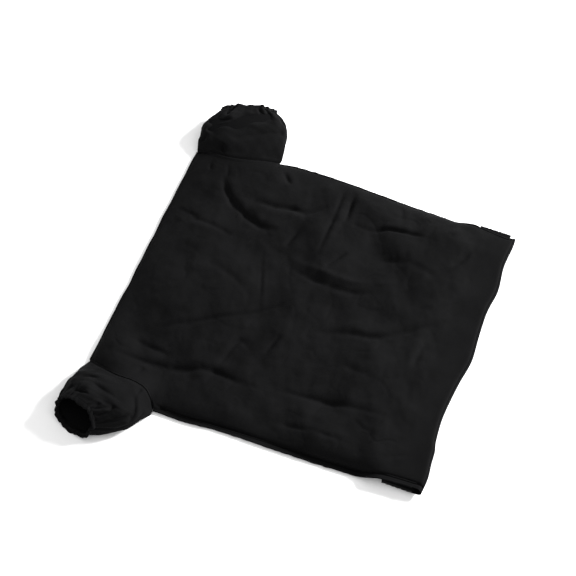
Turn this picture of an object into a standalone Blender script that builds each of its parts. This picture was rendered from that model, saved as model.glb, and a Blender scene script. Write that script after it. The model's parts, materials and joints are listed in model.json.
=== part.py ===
"""Film changing bag: a bag of black cloth inside another, lying flat, with its zip end folded under.

Frame, in metres: +X runs from the closed end to the zip end, +Y from the near sleeve to the far one,
and +Z is up. The origin is on the surface that the bag lies on, under the middle of its outline.

The zip end is modelled unfolded, in the frame of the empty zip_end_fold, whose +X points away from the
body and whose +Z points out of the bag's top face. The empty is turned half a turn, which folds the
end under the body. All the cloth that crosses the fold is divided there, along the fold line.
"""

import math

import bmesh
import bpy
from mathutils import Matrix, Vector

# Cloth and the small gaps between its layers
CLOTH = 0.0008
LAYER_GAP = 0.0004
LAYER = CLOTH + LAYER_GAP

# Outline of the body, seen from above
CLOSED_END_X = -0.2885
FOLD_X = 0.3115
FAR_ARMHOLE = (Vector((CLOSED_END_X, 0.234)), Vector((-0.1335, 0.265)))
NEAR_ARMHOLE = (Vector((CLOSED_END_X, -0.226)), Vector((-0.1475, -0.279)))
FAR_FOLD_Y = 0.259
NEAR_FOLD_Y = -0.257
FOLD_CLEARANCE = 0.0005

# Height of the body over the surface
RIM_HEIGHT = 0.0068
BODY_HEIGHT = 0.0185
BODY_HEIGHT_AT_FOLD = 0.0093
EDGE_MARGIN = 0.050
ARMHOLE_MARGIN = 0.075
ARMHOLE_HEIGHT = 0.026
OVAL_POWER = 2.4

# The body rises over the folded zip end between these two places
RAMP_START = 0.2045
RAMP_END = 0.2495
FOLD_AXIS_Z = 0.0149
BODY_OVER_FOLD = FOLD_AXIS_Z + LAYER_GAP

# Where the panels' grid lines lie: fractions of the armhole, metres along the body, fractions across
ARMHOLE_STATIONS = (0.0, 0.06, 0.2, 0.5, 0.8, 0.94)
BODY_STATIONS = (-0.1475, -0.1335, -0.08, 0.0, 0.09, 0.16, RAMP_START, 0.217, 0.227, 0.237, RAMP_END, 0.275)
ROW_STATIONS = (0.0, 0.02, 0.055, 0.11, 0.28, 0.5, 0.72, 0.89, 0.945, 0.98, 1.0)

# Seams
LINING_INSET = 0.008
LINING_DROP = 0.0018
LINING_RISE = 0.0014
SEAM_RADIUS = 0.0018
SEAM_HEIGHT = 0.0034
SEAM_START = 0.012
LINING_SEAM_RADIUS = 0.0010
LINING_SEAM_INSET = 0.0058
ARMHOLE_SEAM_RADIUS = 0.0014
ARMHOLE_SEAM_OFFSET = 0.0022
SLEEVE_START_OFFSET = 0.0042
ARMHOLE_SEAM_POINTS = 28

# Sleeves
SLEEVE_LIFT = 0.0003
SLEEVE_LINING_INSET = 0.0021
SLEEVE_SECTIONS = (0.0, 0.12, 0.3, 0.5, 0.7, 0.86, 1.0)
POINTS_AROUND = 22
CUFF_LENGTH = 0.013
CUFF_FOLD_DEPTH = 0.0034
CUFF_GAP = 0.0005

# Zip end: its length from the fold line, its sides, and its layers' heights over the fold line
ZIP_END_LENGTH = 0.057
ZIP_END_NEAR_Y = -0.262
ZIP_END_FAR_Y = 0.268
OUTER_CHAIN_X = 0.0415
INNER_CHAIN_X = 0.0175
INNER_END_X = 0.033
OUTER_TAPE_Z = 0.0089
INNER_TAPE_Z = 0.0038
ZIP_WINDOW = 0.0070
SIDE_STRIP = 0.0012

# Zips: sizes, and heights over the underside of the tape
TAPE_THICKNESS = 0.0006
TAPE_WIDTH = 0.0103
CHAIN_SLOT = 0.0014
COIL_WIDTH = 0.0021
COIL_THICKNESS = 0.0012
COIL_Z = 0.0008
PANEL_ON_TAPE_Z = 0.0009
STOP_LENGTH = 0.0025
STOP_HALF_WIDTH = 0.0030
STOP_GAP = 0.0004
SLIDER_LENGTH = 0.0090
SLIDER_WIDTH = 0.0066
PLATE = 0.0008
SLIDER_INNER_PLATE_Z = -0.0011
SLIDER_OUTER_PLATE_Z = 0.0023
DIVIDER_WIDTH = 0.0007
DIVIDER_LENGTH = 0.0030
BAIL_WIDTH = 0.0016
BAIL_HALF_LENGTH = 0.0022
BAIL_THICKNESS = 0.0008
PULL_AXIS_Z = 0.0040
PULL_LENGTH = 0.0200
PULL_HALF_WIDTH = 0.0025
PULL_THICKNESS = 0.0010
PULL_SLOT_HALF_WIDTH = 0.0013
PULL_SLOT_LENGTH = 0.0033

BLACK_CLOTH = (0.012, 0.012, 0.013)
LINING_CLOTH = (0.018, 0.018, 0.020)
BLACK_THREAD = (0.010, 0.010, 0.011)
BLACK_ELASTIC = (0.020, 0.020, 0.021)
BLACK_NYLON = (0.016, 0.016, 0.017)
BLACK_METAL = (0.030, 0.030, 0.032)


# ---------------------------------------------------------------- helpers


def mix(low, high, share):
    return low + (high - low) * share


def smooth(share):
    share = min(max(share, 0.0), 1.0)
    return share * share * (3.0 - 2.0 * share)


def new_collection(name):
    collection = bpy.data.collections.new(name)
    bpy.context.scene.collection.children.link(collection)
    return collection


def finish(obj, colour, roughness=0.9, metallic=0.0):
    """Gives the object a material of its own."""
    material = bpy.data.materials.new(obj.name)
    material.use_nodes = True
    shader = material.node_tree.nodes["Principled BSDF"]
    shader.inputs["Base Color"].default_value = (*colour, 1.0)
    shader.inputs["Roughness"].default_value = roughness
    shader.inputs["Metallic"].default_value = metallic
    obj.data.materials.append(material)


def add(name, data, collection, parent=None, location=(0.0, 0.0, 0.0)):
    obj = bpy.data.objects.new(name, data)
    collection.objects.link(obj)
    obj.parent = parent
    obj.location = location
    return obj


def add_empty(name, location, collection, parent=None, rotation=(0.0, 0.0, 0.0)):
    empty = add(name, None, collection, parent, location)
    empty.rotation_euler = rotation
    empty.empty_display_size = 0.03
    return empty


def box_mesh(name, low, high):
    """A box between two corners, started as a cube primitive."""
    low, high = Vector(low), Vector(high)
    shape = bmesh.new()
    size = Matrix.Diagonal((*(high - low), 1.0))
    bmesh.ops.create_cube(shape, size=1.0, matrix=Matrix.Translation((low + high) / 2) @ size)
    mesh = bpy.data.meshes.new(name)
    shape.to_mesh(mesh)
    shape.free()
    return mesh


def add_box(name, low, high, collection, parent, colour, **look):
    obj = add(name, box_mesh(name, low, high), collection, parent)
    finish(obj, colour, **look)
    return obj


def add_solidify(obj, offset):
    """Cloth thickness: offset -1 grows it under the drawn face, and 1 over it."""
    shell = obj.modifiers.new("cloth thickness", "SOLIDIFY")
    shell.thickness = CLOTH
    shell.offset = offset
    shell.use_even_offset = True


def add_bead(name, points, radius, collection, parent, colour, cyclic=False):
    """A sewn seam as a round bead of stitched cloth along a line."""
    curve = bpy.data.curves.new(name, "CURVE")
    curve.dimensions = "3D"
    curve.bevel_depth = radius
    curve.bevel_resolution = 1
    curve.use_fill_caps = True
    spline = curve.splines.new("POLY")
    spline.points.add(len(points) - 1)
    for place, point in zip(spline.points, points):
        place.co = (*point, 1.0)
    spline.use_cyclic_u = cyclic
    obj = add(name, curve, collection, parent)
    finish(obj, colour)
    return obj


def oval(angle, half_width, half_height):
    """A point of a rounded oval, flatter at its top and bottom than an ellipse."""
    across, up = math.cos(angle), math.sin(angle)
    across = math.copysign(abs(across) ** (2.0 / OVAL_POWER), across)
    up = math.copysign(abs(up) ** (2.0 / OVAL_POWER), up)
    return half_width * across, half_height * up


def loft_mesh(name, rings, join_ends=False):
    """A surface through rings of points. join_ends runs the last ring on to the first, closing it."""
    shape = bmesh.new()
    rows = [[shape.verts.new(point) for point in ring] for ring in rings]
    count = len(rows[0])
    pairs = list(zip(rows, rows[1:]))
    if join_ends:
        pairs.append((rows[-1], rows[0]))
    for row, following in pairs:
        for i in range(count):
            j = (i + 1) % count
            shape.faces.new((row[i], row[j], following[j], following[i]))
    bmesh.ops.recalc_face_normals(shape, faces=shape.faces)
    mesh = bpy.data.meshes.new(name)
    shape.to_mesh(mesh)
    shape.free()
    mesh.shade_smooth()
    return mesh


# ---------------------------------------------------------------- body: heights and outline


def edge_y(x, armhole, fold_y):
    """Y of the body's side edge at x, along the armhole and then along the straight side."""
    start, corner = armhole
    if x < corner.x:
        return mix(start.y, corner.y, (x - start.x) / (corner.x - start.x))
    return mix(corner.y, fold_y, (x - corner.x) / (FOLD_X - corner.x))


def edge_height(x, armhole):
    """Height of the top face at the side edge: an arch over the armhole, and the rim beyond it."""
    start, corner = armhole
    off_middle = abs(2.0 * (x - start.x) / (corner.x - start.x) - 1.0)
    if off_middle >= 1.0:
        return RIM_HEIGHT
    arch = (1.0 - off_middle**OVAL_POWER) ** (1.0 / OVAL_POWER)
    return max(RIM_HEIGHT, ARMHOLE_HEIGHT * arch)


def underside(x):
    """Height of the body's underside: on the surface, then up over the folded zip end."""
    return BODY_OVER_FOLD * smooth((x - RAMP_START) / (RAMP_END - RAMP_START))


def margin(x, armhole):
    corner_x = armhole[1].x
    return mix(ARMHOLE_MARGIN, EDGE_MARGIN, smooth((x - corner_x) / EDGE_MARGIN))


def top_height(x, y):
    """Height of the body's outer top face."""
    height = mix(BODY_HEIGHT, BODY_HEIGHT_AT_FOLD, smooth((x - RAMP_START) / (FOLD_X - RAMP_START)))
    from_far = edge_y(x, FAR_ARMHOLE, FAR_FOLD_Y) - y
    from_near = y - edge_y(x, NEAR_ARMHOLE, NEAR_FOLD_Y)
    height = mix(edge_height(x, FAR_ARMHOLE), height, smooth(from_far / margin(x, FAR_ARMHOLE)))
    height = mix(edge_height(x, NEAR_ARMHOLE), height, smooth(from_near / margin(x, NEAR_ARMHOLE)))
    height = mix(RIM_HEIGHT, height, smooth((x - CLOSED_END_X) / EDGE_MARGIN))
    return underside(x) + height


def column_x(column):
    """X of a grid line: first along the armholes, then along the body to the fold."""
    if column < len(ARMHOLE_STATIONS):
        return mix(CLOSED_END_X, BODY_STATIONS[0], ARMHOLE_STATIONS[column])
    stations = (*BODY_STATIONS, FOLD_X - FOLD_CLEARANCE)
    return stations[column - len(ARMHOLE_STATIONS)]


def grid_point(column, row, height):
    """Where two of the body's grid lines cross."""
    x = column_x(column)
    near = edge_y(x, NEAR_ARMHOLE, NEAR_FOLD_Y)
    far = edge_y(x, FAR_ARMHOLE, FAR_FOLD_Y)
    y = mix(near, far, ROW_STATIONS[row])
    return Vector((x, y, height(x, y)))


def inset_row_point(column, row, height, inset):
    """A grid point, moved along its column towards the middle if it is on a straight side's edge."""
    point = grid_point(column, row, height)
    last = len(ROW_STATIONS) - 1
    if row not in (0, last) or column <= len(ARMHOLE_STATIONS):
        return point
    following = grid_point(column, 1 if row == 0 else last - 1, height)
    return mix(point, following, inset / abs(following.y - point.y))


def add_body_panel(name, height, inset, offset, colour, collection, parent):
    """A cloth panel of the body: height gives its face's height at (x, y), and inset draws in its edges."""
    columns = len(ARMHOLE_STATIONS) + len(BODY_STATIONS)
    rows = len(ROW_STATIONS) - 1
    shape = bmesh.new()
    bmesh.ops.create_grid(shape, x_segments=columns, y_segments=rows, size=0.5)
    for vert in shape.verts:
        column = round((vert.co.x + 0.5) * columns)
        row = round((vert.co.y + 0.5) * rows)
        point = inset_row_point(column, row, height, inset)
        if column == 0 and inset:
            following = inset_row_point(1, row, height, inset)
            point = mix(point, following, inset / (following.x - point.x))
        vert.co = point
    mesh = bpy.data.meshes.new(name)
    shape.to_mesh(mesh)
    shape.free()
    mesh.shade_smooth()
    panel = add(name, mesh, collection, parent)
    add_solidify(panel, offset)
    finish(panel, colour)
    return panel


def add_body_panels(collection, parent):
    def outer_bottom(x, _y):
        return underside(x)

    def inner_bottom(x, _y):
        return underside(x) + LINING_RISE

    def inner_top(x, y):
        return top_height(x, y) - LINING_DROP

    add_body_panel("outer_top_panel", top_height, 0.0, -1, BLACK_CLOTH, collection, parent)
    add_body_panel("outer_bottom_panel", outer_bottom, 0.0, 1, BLACK_CLOTH, collection, parent)
    add_body_panel("inner_top_panel", inner_top, LINING_INSET, -1, LINING_CLOTH, collection, parent)
    add_body_panel("inner_bottom_panel", inner_bottom, LINING_INSET, 1, LINING_CLOTH, collection, parent)


def side_line(armhole, fold_y, inset):
    """The seam line along a straight side, from the armhole's corner to the fold."""
    inward = -math.copysign(inset, fold_y)
    places = [armhole[1].x + SEAM_START + inset]
    places += [x for x in BODY_STATIONS if x > places[0]]
    places.append(FOLD_X - 2 * FOLD_CLEARANCE)
    return [(x, edge_y(x, armhole, fold_y) + inward, underside(x) + SEAM_HEIGHT) for x in places]


def end_line(inset):
    """The seam line along the closed end, between the armholes."""
    from_armhole = SEAM_START + inset
    ends = (NEAR_ARMHOLE[0].y + from_armhole, FAR_ARMHOLE[0].y - from_armhole)
    return [(CLOSED_END_X + inset, mix(*ends, k / 4), SEAM_HEIGHT) for k in range(5)]


def add_body_seams(collection, parent):
    layers = (
        ("seam", 0.0, SEAM_RADIUS),
        ("lining_seam", LINING_SEAM_INSET, LINING_SEAM_RADIUS),
    )
    for kind, inset, radius in layers:
        lines = {
            "near_side": side_line(NEAR_ARMHOLE, NEAR_FOLD_Y, inset),
            "far_side": side_line(FAR_ARMHOLE, FAR_FOLD_Y, inset),
            "closed_end": end_line(inset),
        }
        for place, line in lines.items():
            add_bead(f"{place}_{kind}", line, radius, collection, parent, BLACK_THREAD)


# ---------------------------------------------------------------- sleeves


class Sleeve:
    """One sleeve: a puffed tube from its armhole to the gathered cuff that lies out from it."""

    def __init__(self, side, armhole, outward_sign, cuff_centre, cuff_across, widths, heights):
        self.side = side
        self.start, self.corner = armhole
        self.along_armhole = (self.corner - self.start).normalized()
        self.outward = Vector((-self.along_armhole.y, self.along_armhole.x)) * outward_sign
        self.armhole_middle = (self.start + self.corner) / 2
        self.cuff_centre = Vector(cuff_centre)
        self.cuff_across = Vector(cuff_across).normalized()
        self.cuff_outward = Vector((-self.cuff_across.y, self.cuff_across.x)) * outward_sign
        self.armhole_width, self.cuff_width, self.width_bulge, self.taper_power = widths
        self.cuff_height, self.height_bulge = heights

    def hinge_point(self):
        """The sleeve folds up about the top of its armhole seam."""
        place = self.armhole_middle + self.outward * ARMHOLE_SEAM_OFFSET
        return (place.x, place.y, ARMHOLE_HEIGHT)

    def ring(self, centre, across, width, height, inset):
        """Points round one oval section, drawn in from the outer face by the inset."""
        points = []
        for k in range(POINTS_AROUND):
            angle = 2.0 * math.pi * k / POINTS_AROUND
            sideways, up = oval(angle, width / 2 - inset, height / 2 - inset)
            place = centre + across * sideways
            points.append((place.x, place.y, SLEEVE_LIFT + height / 2 + up))
        return points

    def section(self, share, inset):
        """The section a share of the way from the armhole to the cuff."""
        bulge = 4.0 * share * (1.0 - share)
        narrowing = (self.armhole_width - self.cuff_width) * share**self.taper_power
        width = self.armhole_width + self.width_bulge * bulge - narrowing
        height = mix(ARMHOLE_HEIGHT, self.cuff_height, share) + self.height_bulge * bulge
        first = self.armhole_middle + self.outward * SLEEVE_START_OFFSET
        centre = mix(first, self.cuff_centre, share)
        across = mix(self.along_armhole, self.cuff_across, smooth(share)).normalized()
        return self.ring(centre, across, width, height, inset)

    def cuff_ring(self, outward, inset):
        """A ring round the cuff, this far out from where the sleeve's cloth ends."""
        centre = self.cuff_centre + self.cuff_outward * (CUFF_GAP + outward)
        return self.ring(centre, self.cuff_across, self.cuff_width, self.cuff_height, inset)


def hang_on(obj, hinge):
    """Keeps the mesh where it is in the row's frame, with the hinge empty as its parent."""
    obj.parent = hinge
    obj.location = -hinge.location


def add_sleeve_shell(name, sleeve, inset, colour, collection, hinge):
    rings = [sleeve.section(share, inset) for share in SLEEVE_SECTIONS]
    shell = add(name, loft_mesh(name, rings), collection)
    add_solidify(shell, -1)
    finish(shell, colour)
    hang_on(shell, hinge)


def add_cuff_ring(name, sleeve, profile, colour, collection, hinge):
    """A closed ring round the mouth, from its profile's corners as (outward, inset)."""
    rings = [sleeve.cuff_ring(outward, inset) for outward, inset in profile]
    ring = add(name, loft_mesh(name, rings, join_ends=True), collection)
    finish(ring, colour)
    hang_on(ring, hinge)


def add_sleeve(sleeve, collection, body):
    hinge = add_empty(f"{sleeve.side}_sleeve_fold", sleeve.hinge_point(), collection)
    add_sleeve_shell(f"{sleeve.side}_sleeve_outer", sleeve, 0.0, BLACK_CLOTH, collection, hinge)
    lining_inset = SLEEVE_LINING_INSET
    add_sleeve_shell(
        f"{sleeve.side}_sleeve_lining", sleeve, lining_inset, LINING_CLOTH, collection, hinge
    )

    # The cuff's cloth is turned in over the elastic, so it is a U in section, open towards the sleeve.
    end = CUFF_LENGTH
    back = 0.001
    inner = CUFF_FOLD_DEPTH
    casing = (
        (0.0, 0.0),
        (end, 0.0),
        (end, inner),
        (back, inner),
        (back, inner - CLOTH),
        (end - CLOTH, inner - CLOTH),
        (end - CLOTH, CLOTH),
        (0.0, CLOTH),
    )
    low, high = LAYER, inner - LAYER
    band = ((2 * back, low), (end - LAYER, low), (end - LAYER, high), (2 * back, high))
    add_cuff_ring(f"{sleeve.side}_cuff_casing", sleeve, casing, BLACK_CLOTH, collection, hinge)
    add_cuff_ring(f"{sleeve.side}_cuff_elastic", sleeve, band, BLACK_ELASTIC, collection, hinge)

    # The armhole seam joins the sleeve to the body's panels, and stays on the body.
    middle = sleeve.armhole_middle + sleeve.outward * ARMHOLE_SEAM_OFFSET
    half_width = sleeve.armhole_width / 2 - ARMHOLE_SEAM_RADIUS
    half_height = ARMHOLE_HEIGHT / 2 - ARMHOLE_SEAM_RADIUS
    line = []
    for k in range(ARMHOLE_SEAM_POINTS):
        sideways, up = oval(2.0 * math.pi * k / ARMHOLE_SEAM_POINTS, half_width, half_height)
        place = middle + sleeve.along_armhole * sideways
        line.append((place.x, place.y, SLEEVE_LIFT + ARMHOLE_HEIGHT / 2 + up))
    name = f"{sleeve.side}_armhole_seam"
    add_bead(name, line, ARMHOLE_SEAM_RADIUS, collection, body, BLACK_THREAD, cyclic=True)


# ---------------------------------------------------------------- zip end


def add_zip_end_panels(collection, fold):
    """The four cloth layers between the fold line and the zips, and the strips that close their sides."""
    start = FOLD_CLEARANCE
    inner_near = ZIP_END_NEAR_Y + LINING_INSET
    inner_far = ZIP_END_FAR_Y - LINING_INSET
    outer_top_z = OUTER_TAPE_Z + PANEL_ON_TAPE_Z
    inner_top_z = INNER_TAPE_Z + PANEL_ON_TAPE_Z
    inner_bottom_z = LAYER_GAP + LAYER
    outer = (ZIP_END_NEAR_Y, ZIP_END_FAR_Y)
    inner = (inner_near, inner_far)
    panels = (
        ("zip_end_outer_top", OUTER_CHAIN_X - ZIP_WINDOW, outer, outer_top_z, BLACK_CLOTH),
        ("zip_end_inner_top", INNER_CHAIN_X - ZIP_WINDOW, inner, inner_top_z, LINING_CLOTH),
        ("zip_end_inner_bottom", INNER_END_X, inner, inner_bottom_z, LINING_CLOTH),
        ("zip_end_outer_bottom", ZIP_END_LENGTH, outer, LAYER_GAP, BLACK_CLOTH),
    )
    for name, end, (near, far), bottom, colour in panels:
        low = (start, near, bottom)
        high = (end, far, bottom + CLOTH)
        add_box(name, low, high, collection, fold, colour)

    outer_strip = (ZIP_END_LENGTH - 2 * LAYER, LAYER_GAP + LAYER, outer_top_z - LAYER_GAP)
    inner_strip = (INNER_END_X - 2 * LAYER, inner_bottom_z + LAYER, inner_top_z - LAYER_GAP)
    strips = (
        ("zip_end_near_seam", ZIP_END_NEAR_Y, outer_strip),
        ("zip_end_far_seam", ZIP_END_FAR_Y - SIDE_STRIP, outer_strip),
        ("zip_end_near_lining_seam", inner_near, inner_strip),
        ("zip_end_far_lining_seam", inner_far - SIDE_STRIP, inner_strip),
    )
    for name, near, (end, bottom, top) in strips:
        low = (start, near, bottom)
        high = (end, near + SIDE_STRIP, top)
        add_box(name, low, high, collection, fold, BLACK_THREAD)


def add_facing(name, end, window_edge, bottom, flange_z, near, far, colour, collection, fold):
    """The panel's end turned back over the zip's edge: an L in section, run from side to side."""
    outline = (
        (end, bottom),
        (end, flange_z + CLOTH),
        (window_edge, flange_z + CLOTH),
        (window_edge, flange_z),
        (end - CLOTH, flange_z),
        (end - CLOTH, bottom),
    )
    curve = bpy.data.curves.new(name, "CURVE")
    curve.dimensions = "2D"
    curve.fill_mode = "BOTH"
    curve.extrude = (far - near) / 2
    spline = curve.splines.new("POLY")
    spline.points.add(len(outline) - 1)
    for place, (x, z) in zip(spline.points, outline):
        place.co = (x, z, 0.0, 1.0)
    spline.use_cyclic_u = True
    facing = add(name, curve, collection, fold, (0.0, (near + far) / 2, 0.0))
    facing.rotation_euler = (math.pi / 2, 0.0, 0.0)
    finish(facing, colour)


def union(obj, low, high, cutters):
    """Joins a box to the object."""
    name = f"{obj.name}_joined_{len(obj.modifiers)}"
    other = add(name, box_mesh(name, low, high), cutters, obj.parent, obj.location)
    other.hide_render = True
    other.display_type = "WIRE"
    joined = obj.modifiers.new("join", "BOOLEAN")
    joined.operation = "UNION"
    joined.solver = "EXACT"
    joined.object = other


def add_slider(name, chain_x, y, tape_z, collection, cutters, fold):
    """Two plates over and under the chain, the divider between them, and the bail that holds the pull."""
    half_length = SLIDER_LENGTH / 2
    half_width = SLIDER_WIDTH / 2
    outer_low = SLIDER_OUTER_PLATE_Z
    outer_high = outer_low + PLATE
    inner_low = SLIDER_INNER_PLATE_Z
    inner_high = inner_low + PLATE
    bail_top = PULL_AXIS_Z + 2 * BAIL_THICKNESS
    overlap = PLATE / 2
    plate = box_mesh(name, (-half_width, -half_length, outer_low), (half_width, half_length, outer_high))
    slider = add(name, plate, collection, fold, (chain_x, y, tape_z))
    other_boxes = [
        ((-half_width, -half_length, inner_low), (half_width, half_length, inner_high)),
        (
            (-DIVIDER_WIDTH / 2, half_length - DIVIDER_LENGTH, inner_low + overlap),
            (DIVIDER_WIDTH / 2, half_length - PLATE / 4, outer_high - overlap),
        ),
    ]
    for side in (-1, 1):
        ends = sorted((side * BAIL_HALF_LENGTH, side * (BAIL_HALF_LENGTH - BAIL_THICKNESS)))
        leg_low = (-BAIL_WIDTH / 2, ends[0], outer_high - overlap)
        leg_high = (BAIL_WIDTH / 2, ends[1], bail_top)
        other_boxes.append((leg_low, leg_high))
    crown_low = (-BAIL_WIDTH / 2, -BAIL_HALF_LENGTH, bail_top - BAIL_THICKNESS)
    crown_high = (BAIL_WIDTH / 2, BAIL_HALF_LENGTH, bail_top)
    other_boxes.append((crown_low, crown_high))
    for low, high in other_boxes:
        union(slider, low, high, cutters)
    finish(slider, BLACK_METAL, roughness=0.35, metallic=1.0)
    return slider


def pull_outline():
    """Outer edge of the pull, from its pivot bar at y = 0 to its rounded tip."""
    bar = PULL_THICKNESS / 2
    tip_y = -PULL_LENGTH + PULL_HALF_WIDTH
    points = [(-PULL_HALF_WIDTH, bar), (-PULL_HALF_WIDTH, tip_y)]
    for k in range(1, 8):
        angle = math.pi * k / 8
        points.append((-PULL_HALF_WIDTH * math.cos(angle), tip_y - PULL_HALF_WIDTH * math.sin(angle)))
    points += [(PULL_HALF_WIDTH, tip_y), (PULL_HALF_WIDTH, bar)]
    return points


def pull_slot():
    """The slot that the slider's bail passes through."""
    near = -PULL_THICKNESS / 2
    far = near - PULL_SLOT_LENGTH
    half = PULL_SLOT_HALF_WIDTH
    return [(-half, near), (half, near), (half, far), (-half, far)]


def add_pull(name, chain_x, y, tape_z, collection, fold):
    curve = bpy.data.curves.new(name, "CURVE")
    curve.dimensions = "2D"
    curve.fill_mode = "BOTH"
    curve.extrude = PULL_THICKNESS / 2
    for outline in (pull_outline(), pull_slot()):
        spline = curve.splines.new("POLY")
        spline.points.add(len(outline) - 1)
        for place, point in zip(spline.points, outline):
            place.co = (*point, 0.0, 1.0)
        spline.use_cyclic_u = True
    pull = add(name, curve, collection, fold, (chain_x, y, tape_z + PULL_AXIS_Z))
    finish(pull, BLACK_METAL, roughness=0.35, metallic=1.0)


def add_zip(layer, chain_x, tape_z, end_x, inset, bottom_z, colour, collection, cutters, fold):
    """One zip, closed, with its slider at the far end."""
    near = ZIP_END_NEAR_Y + inset
    far = ZIP_END_FAR_Y - inset
    tape_near, tape_far = near + 0.003, far - 0.003
    chain_near, chain_far = tape_near + 0.009, tape_far - 0.009

    for place, side in (("fold_side", -1), ("end_side", 1)):
        inner_edge = chain_x + side * CHAIN_SLOT / 2
        tape = sorted((inner_edge, inner_edge + side * TAPE_WIDTH))
        coil = sorted((inner_edge, inner_edge + side * COIL_WIDTH))
        add_box(
            f"{layer}_zip_{place}_tape",
            (tape[0], tape_near, tape_z),
            (tape[1], tape_far, tape_z + TAPE_THICKNESS),
            collection,
            fold,
            BLACK_NYLON,
        )
        add_box(
            f"{layer}_zip_{place}_coil",
            (coil[0], chain_near, tape_z + COIL_Z),
            (coil[1], chain_far, tape_z + COIL_Z + COIL_THICKNESS),
            collection,
            fold,
            BLACK_NYLON,
            roughness=0.45,
        )

    stops = (
        (f"{layer}_zip_top_stop", chain_far + STOP_GAP),
        (f"{layer}_zip_bottom_stop", chain_near - STOP_GAP - STOP_LENGTH),
    )
    for name, low_y in stops:
        low = (chain_x - STOP_HALF_WIDTH, low_y, tape_z + COIL_Z)
        high = (chain_x + STOP_HALF_WIDTH, low_y + STOP_LENGTH, tape_z + COIL_Z + COIL_THICKNESS)
        add_box(name, low, high, collection, fold, BLACK_METAL, roughness=0.35, metallic=1.0)

    flange_z = tape_z + PANEL_ON_TAPE_Z
    window_edge = chain_x + ZIP_WINDOW
    name = f"{layer}_zip_facing"
    add_facing(name, end_x, window_edge, bottom_z, flange_z, near, far, colour, collection, fold)

    slider_y = chain_far - SLIDER_LENGTH / 2 - STOP_GAP
    add_slider(f"{layer}_zip_slider", chain_x, slider_y, tape_z, collection, cutters, fold)
    add_pull(f"{layer}_zip_pull", chain_x, slider_y, tape_z, collection, fold)


def add_zip_end(collection, cutters):
    """The end of the bag beyond the fold line, with both zips, turned under the body."""
    fold = add_empty(
        "zip_end_fold", (FOLD_X, 0.0, FOLD_AXIS_Z), collection, rotation=(0.0, math.pi, 0.0)
    )
    add_zip_end_panels(collection, fold)
    outer_bottom_z = LAYER_GAP + LAYER
    inner_bottom_z = outer_bottom_z + LAYER
    add_zip(
        "outer",
        OUTER_CHAIN_X,
        OUTER_TAPE_Z,
        ZIP_END_LENGTH,
        0.0,
        outer_bottom_z,
        BLACK_CLOTH,
        collection,
        cutters,
        fold,
    )
    add_zip(
        "inner",
        INNER_CHAIN_X,
        INNER_TAPE_Z,
        INNER_END_X,
        LINING_INSET,
        inner_bottom_z,
        LINING_CLOTH,
        collection,
        cutters,
        fold,
    )


# ---------------------------------------------------------------- the whole bag


def main():
    for obj in list(bpy.data.objects):
        bpy.data.objects.remove(obj)
    collection = new_collection("film_changing_bag")
    cutters = new_collection("cutters")
    body = add_empty("bag_body", (0.0, 0.0, 0.0), collection)

    add_body_panels(collection, body)
    add_body_seams(collection, body)
    far_sleeve = Sleeve(
        side="far",
        armhole=FAR_ARMHOLE,
        outward_sign=1.0,
        cuff_centre=(-0.2145, 0.343),
        cuff_across=(1.0, 0.04),
        widths=(0.154, 0.100, 0.012, 3.5),
        heights=(0.034, 0.014),
    )
    near_sleeve = Sleeve(
        side="near",
        armhole=NEAR_ARMHOLE,
        outward_sign=-1.0,
        cuff_centre=(-0.2690, -0.3405),
        cuff_across=(0.95, -0.30),
        widths=(0.147, 0.078, 0.0, 1.9),
        heights=(0.042, 0.020),
    )
    add_sleeve(far_sleeve, collection, body)
    add_sleeve(near_sleeve, collection, body)
    add_zip_end(collection, cutters)


main()
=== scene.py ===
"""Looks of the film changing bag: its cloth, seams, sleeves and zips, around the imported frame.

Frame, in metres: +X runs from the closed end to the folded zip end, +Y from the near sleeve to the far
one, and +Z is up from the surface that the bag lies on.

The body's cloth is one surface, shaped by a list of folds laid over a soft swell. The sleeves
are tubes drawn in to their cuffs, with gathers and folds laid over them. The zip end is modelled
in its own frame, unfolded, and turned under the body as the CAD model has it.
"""

import json
import math

import bmesh
import bpy
import numpy as np
from mathutils import Matrix, Vector


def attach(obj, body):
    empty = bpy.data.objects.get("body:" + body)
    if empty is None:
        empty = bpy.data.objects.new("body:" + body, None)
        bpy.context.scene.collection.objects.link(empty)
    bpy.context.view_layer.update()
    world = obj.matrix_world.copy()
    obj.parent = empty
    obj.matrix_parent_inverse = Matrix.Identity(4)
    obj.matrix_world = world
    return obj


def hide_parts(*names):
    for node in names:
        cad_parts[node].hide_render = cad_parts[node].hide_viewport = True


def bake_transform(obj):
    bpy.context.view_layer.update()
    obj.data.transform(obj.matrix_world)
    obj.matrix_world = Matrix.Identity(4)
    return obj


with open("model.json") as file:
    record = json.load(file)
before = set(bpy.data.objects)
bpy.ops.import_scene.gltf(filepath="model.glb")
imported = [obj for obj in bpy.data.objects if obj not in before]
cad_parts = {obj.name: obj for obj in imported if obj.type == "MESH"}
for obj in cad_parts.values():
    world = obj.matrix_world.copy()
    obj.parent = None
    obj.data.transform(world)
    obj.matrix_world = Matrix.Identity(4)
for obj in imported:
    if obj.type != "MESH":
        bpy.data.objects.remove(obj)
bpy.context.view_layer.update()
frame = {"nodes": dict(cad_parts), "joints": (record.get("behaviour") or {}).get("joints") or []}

# ---------------------------------------------------------------- sizes read from the frame

JOINTS = {joint["name"]: joint for joint in frame["joints"]}
FOLD_X, _, FOLD_Z = JOINTS["zip_end_unfold"]["pos_m"]
FOLD_BOTTOM = 0.0106
FOLD_ROUNDING = 0.0095
PANEL_START = 0.0100

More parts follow.
